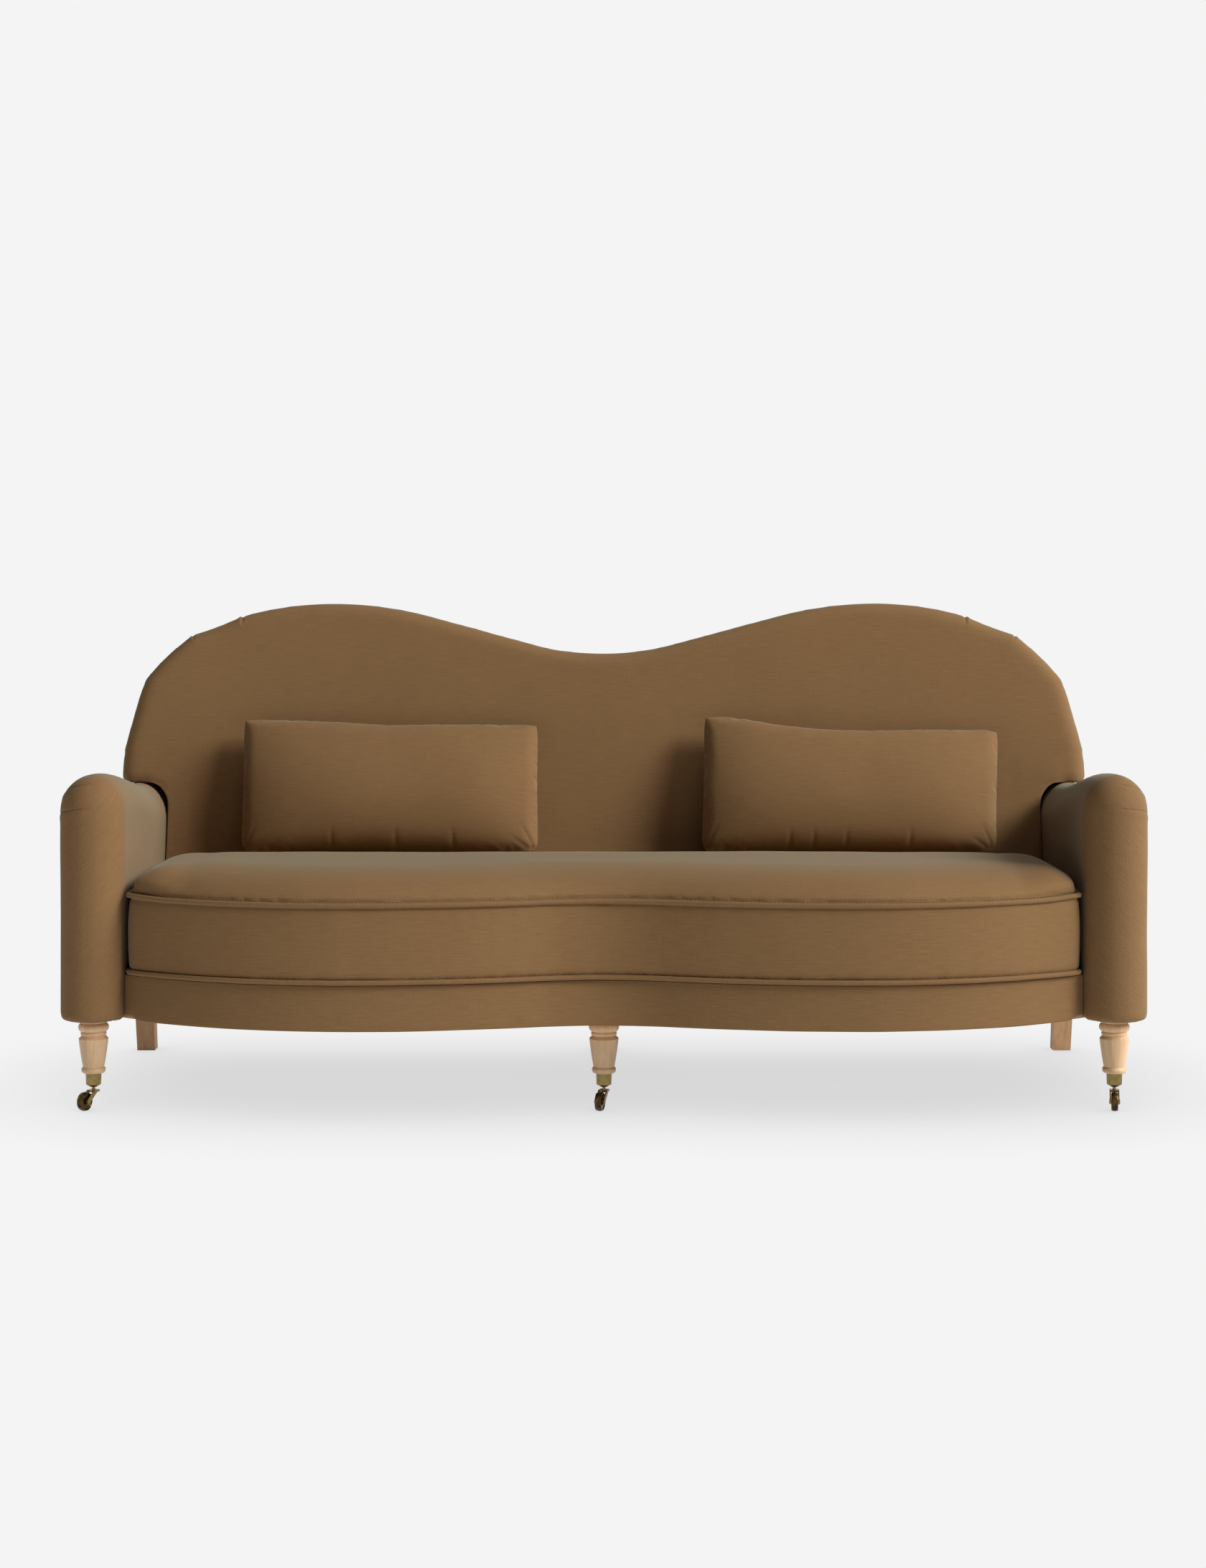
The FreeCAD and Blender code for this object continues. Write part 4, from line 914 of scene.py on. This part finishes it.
def panel_rule(place, normal):
    if normal.y < 0.8:
        return 0.0
    inside = ease(place.z, UNDERSIDE_Z, UNDERSIDE_Z + 0.12) * ease(place.z, 1.0, 0.86)
    return inside * (PANEL_BOW + ripple(place, 0.25, 0.8 * MM))


sculpt(panel, panel_rule)
panel.data.shade_smooth()
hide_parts("outside_back_panel")
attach(panel, "root")

# %% [markdown]
# ## The base band and the deck
# The base front is a band of fabric over thin padding that follows the serpentine rail. It is a ribbon:
# a line of points is extruded upwards, given its thickness, and its edges are rounded. The deck under
# the cushion is a padded sheet of the same plan.

# %% Base band
BAND_END_X = SWELL_X + 0.460
BASE_SETBACK = 6 * MM
BAND_DEPTH = 8 * MM
BAND_ROWS = 6


def open_front(inset, end_x):
    half = front_half(inset, end_x)
    return [(-x, y) for x, y in reversed(half[1:])] + half


def points_in(items):
    """The vertices among what an operator returns."""
    return [item for item in items if isinstance(item, bmesh.types.BMVert)]


bm = bmesh.new()
line = [bm.verts.new((x, y, UNDERSIDE_Z)) for x, y in open_front(BASE_SETBACK, BAND_END_X)]
edges = [bm.edges.new(pair) for pair in zip(line, line[1:])]
for row in range(BAND_ROWS):
    grown = bmesh.ops.extrude_edge_only(bm, edges=edges)["geom"]
    verts = points_in(grown)
    edges = [item for item in grown if isinstance(item, bmesh.types.BMEdge)
             and item.verts[0] in verts and item.verts[1] in verts]
    bmesh.ops.translate(bm, verts=verts, vec=(0, 0, (DECK_Z - UNDERSIDE_Z - 1 * MM) / BAND_ROWS))
face_outwards(bm)
if bm.faces[0].normal.y > 0:
    bmesh.ops.reverse_faces(bm, faces=bm.faces)
bmesh.ops.solidify(bm, geom=bm.faces, thickness=BAND_DEPTH)
face_outwards(bm)
band = make_object("base_front", bm, base_fabric)
bevel = band.modifiers.new("soft edges", "BEVEL")
bevel.width = 3 * MM
bevel.segments = 3
bevel.limit_method = "ANGLE"
apply_modifiers(band)
sculpt(band, lambda place, normal: ripple(place, 0.12, 0.7 * MM))


def band_shift(place, normal):
    """Rounds the band's lower corners, where it meets the arms."""
    corner = ease(abs(place.x), 0.935, 0.955) * ease(place.z, UNDERSIDE_Z + 25 * MM, UNDERSIDE_Z)
    return Vector((0, 3 * MM * corner, 8 * MM * corner - 1.5 * MM * ease(place.z, DECK_Z, UNDERSIDE_Z)))


shift(band, band_shift)
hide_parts("base_front_cover", "base_front_padding")
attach(band, "root")

# %% Deck
deck_low, deck_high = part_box("deck_pad")
bm = bmesh.new()
plan = [(x, y) for x, y in open_front(14 * MM, deck_high[0])]
plan += [(deck_high[0], deck_high[1]), (-deck_high[0], deck_high[1])]
face = bm.faces.new([bm.verts.new((x, y, deck_low[2])) for x, y in plan])
raised = bmesh.ops.extrude_face_region(bm, geom=[face])["geom"]
bmesh.ops.translate(bm, verts=points_in(raised), vec=(0, 0, deck_high[2] - deck_low[2] - 0.5 * MM))
face_outwards(bm)
grid_cut(bm, 0, deck_low[0], deck_high[0], 0.06)
grid_cut(bm, 1, deck_low[1], deck_high[1], 0.06)
deck = make_object("deck", bm, felt)
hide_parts("deck_pad")
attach(deck, "root")

# %% [markdown]
# ## The dust cover
# Thin black cloth is stapled under the frame. It hangs a little between the rails, so it is a grid
# that sags in the middle of each bay, then gets the thickness of cloth.

# %% Dust cover
dust_low, dust_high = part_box("dust_cover")
bm = bmesh.new()
middle = (Vector(dust_low) + Vector(dust_high)) / 2
half = (Vector(dust_high) - Vector(dust_low)) / 2
shape = Matrix.Translation((middle.x, middle.y, dust_high[2] - 0.4 * MM))
shape = shape @ Matrix.Diagonal((half.x, half.y, 1, 1))
bmesh.ops.create_grid(bm, x_segments=80, y_segments=24, size=1.0, matrix=shape)
for vert in bm.verts:
    bay = abs(sin(pi * vert.co.x / half.x)) * cos(pi / 2 * (vert.co.y - middle.y) / half.y)
    vert.co.z -= 0.9 * MM * bay
bmesh.ops.solidify(bm, geom=bm.faces, thickness=0.3 * MM)
face_outwards(bm)
dust = make_object("dust_cloth", bm, cambric)
dust.data.shade_smooth()
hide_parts("dust_cover")
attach(dust, "root")

# %% [markdown]
# ## The pillows
# A knife-edged pillow is two panels sewn together and stuffed. Each starts as a slack, half-filled
# form with the pattern of its cloth written in a UV map. Pressure then fills it, as a cloth
# simulation, until it is as thick as the pillow, so its edges draw in and its seams pull by
# themselves. Then it is set to size and its outline is pulled nearly straight. Each pillow gets the
# line of its own top edge, its tucks and its corner folds, and the filling sinks a little. Last it
# is laid at its lean and moved to its place.

# %% Pillows
PILLOW_LEAN = 22.0
PILLOW_W_CELLS = 118
PILLOW_H_CELLS = 58
EDGE_T = 4 * MM
PILLOW_H = 300 * MM
PILLOW_T = 134 * MM
SLACK = 0.74                      # share of the full thickness before the stuffing
STUFFING = {"quality": 6, "mass": 0.3, "tension_stiffness": 30, "compression_stiffness": 4,
            "shear_stiffness": 6, "bending_stiffness": 2.5, "use_pressure": True,
            "uniform_pressure_force": 3.0}
PILLOW_FRAMES = 30
TOP_SHARE = 0.80                  # how straight the edges are pulled
SIDE_SHARE = 0.80
BELLY = 10 * MM                   # the filling sinks to the lower half
CORNER_ROUND = 38 * MM            # size of the corners, which the stuffing doesn't fill
BELLY_PEAK = 9.5                  # brings the highest value of part * (1 - part) ** 3 to 1
PILLOW_LOW = -157 * MM
TUCK_WIDTH = 5 * MM
TUCK_DEPTH = 2.2 * MM
FOLD_TURNS = (28.0, 58.0)         # folds from each lower corner, degrees from level
FOLD_WIDTH = 4.5 * MM
FOLD_DEPTH = 2.6 * MM
PILLOW_FORMS = {
    "left_pillow": {
        "top": 140 * MM, "widths": (1.012, 1.020), "shifts": (1.7 * MM, -4 * MM),
        "lifts": ((-1.0, 13.2), (-0.7, 12.4), (-0.36, 8.3), (0.0, 0.0), (0.3, 2.5), (0.6, 2.5), (1.0, 0.0)),
        "tucks": (-0.38, 0.05, 0.43)},
    "right_pillow": {
        "top": 128.5 * MM, "widths": (0.996, 1.010), "shifts": (-6.5 * MM, 8 * MM),
        "lifts": ((-1.0, 31.4), (-0.86, 30.7), (-0.72, 26.4), (-0.56, 16.8), (-0.41, 9.6), (-0.27, 4.3),
                  (-0.08, 0.0), (0.12, -1.0), (0.51, 1.7), (0.91, 1.0), (1.0, -3.3)),
        "tucks": (-0.41, -0.25, -0.03, 0.40)},
}


def slack_pillow(name, width, height, seed):
    """Two panels joined round their edge, a little apart in the middle."""
    bm = bmesh.new()
    bmesh.ops.create_cube(bm, size=1.0, matrix=Matrix.Diagonal((width, EDGE_T, height, 1)))
    for axis, cells in ((0, PILLOW_W_CELLS), (2, PILLOW_H_CELLS)):
        edges = [e for e in bm.edges if abs(e.verts[0].co[axis] - e.verts[1].co[axis]) > EDGE_T * 2]
        bmesh.ops.subdivide_edges(bm, edges=edges, cuts=cells, use_grid_fill=True)
    layer = bm.loops.layers.uv.new(UV_NAME)
    for face in bm.faces:
        for corner in face.loops:
            corner[layer].uv = (corner.vert.co.x * 1.04, corner.vert.co.z * 1.1)
    for vert in bm.verts:
        across = min(abs(2 * vert.co.x / width), 1.0)
        up = min(abs(2 * vert.co.z / height), 1.0)
        fill = (1 - across ** 3.2) ** 0.8 * (1 - up ** 2)
        vert.co.y += copysign(SLACK * PILLOW_T / 2 * fill, vert.co.y)
        vert.co.z *= 1 + 0.02 * (1 - across ** 2)
        vert.co.y += 1.6 * MM * noise.noise(vert.co * 9 + Vector((seed, 0, 0)))
    return make_object(name, bm, pillow_fabric)


def thickness(piece):
    graph = bpy.context.evaluated_depsgraph_get()
    depths = [vert.co.y for vert in piece.evaluated_get(graph).data.vertices]
    return max(depths) - min(depths)


def stuff(bag):
    """Blows the bag up by pressure until it is as thick as the pillow."""
    cloth = bag.modifiers.new("stuffing", "CLOTH")
    for key, value in STUFFING.items():
        setattr(cloth.settings, key, value)
    cloth.settings.effector_weights.gravity = 0
    cloth.collision_settings.use_collision = False
    for step in range(1, PILLOW_FRAMES + 1):
        scene.frame_set(step)
        if thickness(bag) > PILLOW_T:
            break
    print(bag.name, "stuffed in", step, "frames to", round(thickness(bag), 4))
    apply_modifiers(bag)
    scene.frame_set(1)


def set_size(bm, size):
    """Scales the mesh about its middle to the given width, depth and height."""
    lows = [min(v.co[i] for v in bm.verts) for i in range(3)]
    highs = [max(v.co[i] for v in bm.verts) for i in range(3)]
    centre = Vector([(a + b) / 2 for a, b in zip(lows, highs)])
    grow = [goal / (b - a) for goal, a, b in zip(size, lows, highs)]
    bmesh.ops.translate(bm, verts=bm.verts, vec=-centre)
    bmesh.ops.scale(bm, verts=bm.verts, vec=grow)


def between(table, at):
    """A value read from a table of (place, value) rows, straight between the rows."""
    if at <= table[0][0]:
        return table[0][1]
    for (low, first), (high, second) in zip(table, table[1:]):
        if at <= high:
            return first + (second - first) * (at - low) / (high - low)
    return table[-1][1]


def edge_lines(verts, along, across, half, bands):
    """The lowest and highest place of the outline, band by band, as two tables."""
    lows = {}
    highs = {}
    for vert in verts:
        band = round(min(max(vert.co[along] / half, -1.0), 1.0) * bands)
        lows[band] = min(lows.get(band, 9.0), vert.co[across])
        highs[band] = max(highs.get(band, -9.0), vert.co[across])
    inner = [band for band in sorted(lows) if abs(band) < bands]
    return [[(band / bands, ends[band]) for band in inner] for ends in (lows, highs)]


def straighten(verts, along, across, half, goals, share):
    """Pulls the outline to two straight lines at goals, by a share of the way."""
    lows, highs = edge_lines(verts, along, across, half, 28)
    for vert in verts:
        at = vert.co[along] / half
        low = between(lows, at)
        high = between(highs, at)
        part = (vert.co[across] - low) / (high - low)
        low += (goals[0] - low) * share
        high += (goals[1] - high) * share
        vert.co[across] = low + (high - low) * part


def corner_folds(x, part, half):
    """Depth of the folds that run from a lower corner towards the middle."""
    up = PILLOW_H * part
    beside = half - abs(x)
    corner = hypot(beside, up)
    slope = degrees(atan2(up, max(beside, 1e-6)))
    fade = ease(corner, 80 * MM, 25 * MM) * ease(corner, 0.0, 12 * MM)
    aways = [radians(slope - turn) * corner / FOLD_WIDTH for turn in FOLD_TURNS]
    return FOLD_DEPTH * fade * sum(exp(-away ** 2) for away in aways)


def form_pillow(bm, width, form):
    """Gives the stuffed pillow the outline and the tucks it has in its place."""
    half = width / 2
    straighten(bm.verts, 2, 0, PILLOW_H / 2, (-half, half), SIDE_SHARE)
    straighten(bm.verts, 0, 2, half, (-PILLOW_H / 2, PILLOW_H / 2), TOP_SHARE)
    low_width, high_width = form["widths"]
    low_shift, high_shift = form["shifts"]
    bm.normal_update()
    for vert in bm.verts:
        place = vert.co
        at = min(max(place.x / half, -1.0), 1.0)
        part = (place.z + PILLOW_H / 2) / PILLOW_H
        top = form["top"] + between(form["lifts"], at) * MM
        inwards = corner_folds(place.x, part, half)
        if vert.normal.y < 0:
            for tuck in form["tucks"]:
                away = (place.x - tuck * half) / TUCK_WIDTH
                if abs(away) < 3:
                    inwards += TUCK_DEPTH * exp(-away ** 2) * ease(part, 0.19, 0.03)
            inwards -= BELLY * BELLY_PEAK * part * (1 - part) ** 3 * (1 - abs(at) ** 4)
            place.y += inwards
        else:
            place.y -= inwards
        end = min(part, 1 - part) * PILLOW_H
        nearest = max(min(CORNER_ROUND - half + abs(place.x), CORNER_ROUND - end), 0.0)
        draw_in = (9 if part < 0.5 else 4) * MM * (nearest / CORNER_ROUND) ** 2
        place.z = PILLOW_LOW + (top - PILLOW_LOW) * part + copysign(draw_in, 0.5 - part)
        place.x -= copysign(draw_in, place.x)
        place.x *= low_width + (high_width - low_width) * part
        place.x += low_shift + (high_shift - low_shift) * part


for number, name in enumerate(("left_pillow", "right_pillow")):
    low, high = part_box(name + "_cover")
    width = high[0] - low[0]
    pillow = slack_pillow(name, width, PILLOW_H, number * 5.0)
    stuff(pillow)
    finer = pillow.modifiers.new("finer", "SUBSURF")
    finer.levels = 1
    finer.render_levels = 1
    apply_modifiers(pillow)
    centre = (Vector(low) + Vector(high)) / 2
    place = Matrix.Translation(centre) @ Matrix.Rotation(radians(-PILLOW_LEAN), 4, "X")
    with editing(pillow) as bm:
        set_size(bm, (width, PILLOW_T, PILLOW_H))
        form_pillow(bm, width, PILLOW_FORMS[name])
        bmesh.ops.transform(bm, matrix=place, verts=bm.verts)
        face_outwards(bm)
    pillow.data.shade_smooth()
    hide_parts(name + "_cover", name + "_insert")
    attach(pillow, name)
    print(name, "faces", len(pillow.data.polygons))

# %% [markdown]
# ## Floor, light and camera
# A plain pale floor meets a background of the same tone, so only the sofa and its shadow show. Soft
# suns light it: a strong one from the right front, a weak one from the right and one from above. A
# near lamp on the right makes that end a little brighter. The rest is mostly painted bounce light: the
# floor glows onto the sofa from below, less where the sofa covers it; almost none comes from the left.
# What the camera and mirrors see of the floor is its own plain tone with a painted shadow, darkened
# where the sofa covers it, which gives the even, shallow shadow of a light studio floor.

# %% Floor
PALE = srgb(244, 244, 244)
PAINTED_BOUNCE_GLOW = 0.75                 # painted bounce light: how bright the floor glows onto the sofa
FLOOR_DIM = 0.30                  # share of the suns that it throws back as well
SHADE = 0.31                      # depth of the painted shadow under the sofa
SHADE_REACH = 0.42


def seen_directly(tree):
    """1 for what the camera sees, by itself or in a mirror, and 0 for light on its way."""
    rays = add(tree, "LightPath", {}).outputs
    mirrored = maths(tree, "MAXIMUM", rays["Is Glossy Ray"], rays["Is Transmission Ray"])
    return maths(tree, "MAXIMUM", rays["Is Camera Ray"], mirrored)


bm = bmesh.new()
bmesh.ops.create_grid(bm, x_segments=1, y_segments=1, size=60.0)
floor_material, tree, shader = new_material("pale_floor", (FLOOR_DIM, FLOOR_DIM, FLOOR_DIM), 1.0)
# Occlusion by the sofa dims the floor's painted glow and paints the shadow under the sofa.
open_sky = add(tree, "AmbientOcclusion", {"Distance": SHADE_REACH}, samples=8).outputs["AO"]
fill(shader, {"Specular IOR Level": 0.0, "Emission Color": (1, 1, 1, 1),
              "Emission Strength": times(tree, open_sky, PAINTED_BOUNCE_GLOW)})
# Painted shadow: the plain tone the camera sees, darkened where the sofa covers the floor.
shade = times(tree, open_sky, SHADE, 1 - SHADE)
plain = add(tree, "Emission", {"Color": (*PALE, 1), "Strength": shade})
both = add(tree, "MixShader", {0: seen_directly(tree), 1: shader.outputs[0], 2: plain.outputs[0]})
fill(tree.nodes["Material Output"], {"Surface": both.outputs[0]})
floor = make_object("floor", bm, floor_material)

# %% Light
AMBIENT = 0.02
SUN_SIZE = 24.0
SUNS = {"key_sun": ((0.85, -0.40, 0.60), 0.80), "side_sun": ((0.80, 0.10, 0.60), 0.22),
        "top_sun": ((0.10, -0.10, 1.00), 0.14)}
LAMP_AT = Vector((2.6, -0.7, 2.1))
LAMP_AIM = Vector((0.0, 0.0, 0.5))
LAMP_SIZE = 1.2
LAMP_WATTS = 17.0
world = bpy.data.worlds.new("studio")
scene.world = world
world.use_nodes = True
tree = world.node_tree
seen = seen_directly(tree)
fill(tree.nodes["Background"], {"Color": blend_colours(tree, seen, (1.0, 1.0, 1.0), PALE),
                                "Strength": times(tree, seen, 1 - AMBIENT, AMBIENT)})
for name, (light_from, light) in SUNS.items():
    sun = put_in_scene(name, bpy.data.lights.new(name, "SUN"))
    sun.rotation_euler = Vector(light_from).to_track_quat("Z", "Y").to_euler()
    sun.data.angle = radians(SUN_SIZE)
    sun.data.energy = light * pi
lamp = put_in_scene("near_lamp", bpy.data.lights.new("near_lamp", "AREA"))
lamp.location = LAMP_AT
lamp.rotation_euler = (LAMP_AT - LAMP_AIM).to_track_quat("Z", "Y").to_euler()
lamp.data.shape = "DISK"
lamp.data.size = LAMP_SIZE
lamp.data.energy = LAMP_WATTS

# %% Camera
CAMERA_Y = -5.7
CAMERA_Z = 1.051
LENS = 61.3
SHIFT_X = -0.0006
SHIFT_Y = -0.124
camera = put_in_scene("camera", bpy.data.cameras.new("camera"))
camera.location = (0.0, CAMERA_Y, CAMERA_Z)
camera.rotation_euler = (radians(90), 0, 0)
camera.data.sensor_width = 36.0
camera.data.lens = LENS
camera.data.shift_x = SHIFT_X
camera.data.shift_y = SHIFT_Y
scene.camera = camera
scene.view_settings.view_transform = "Standard"
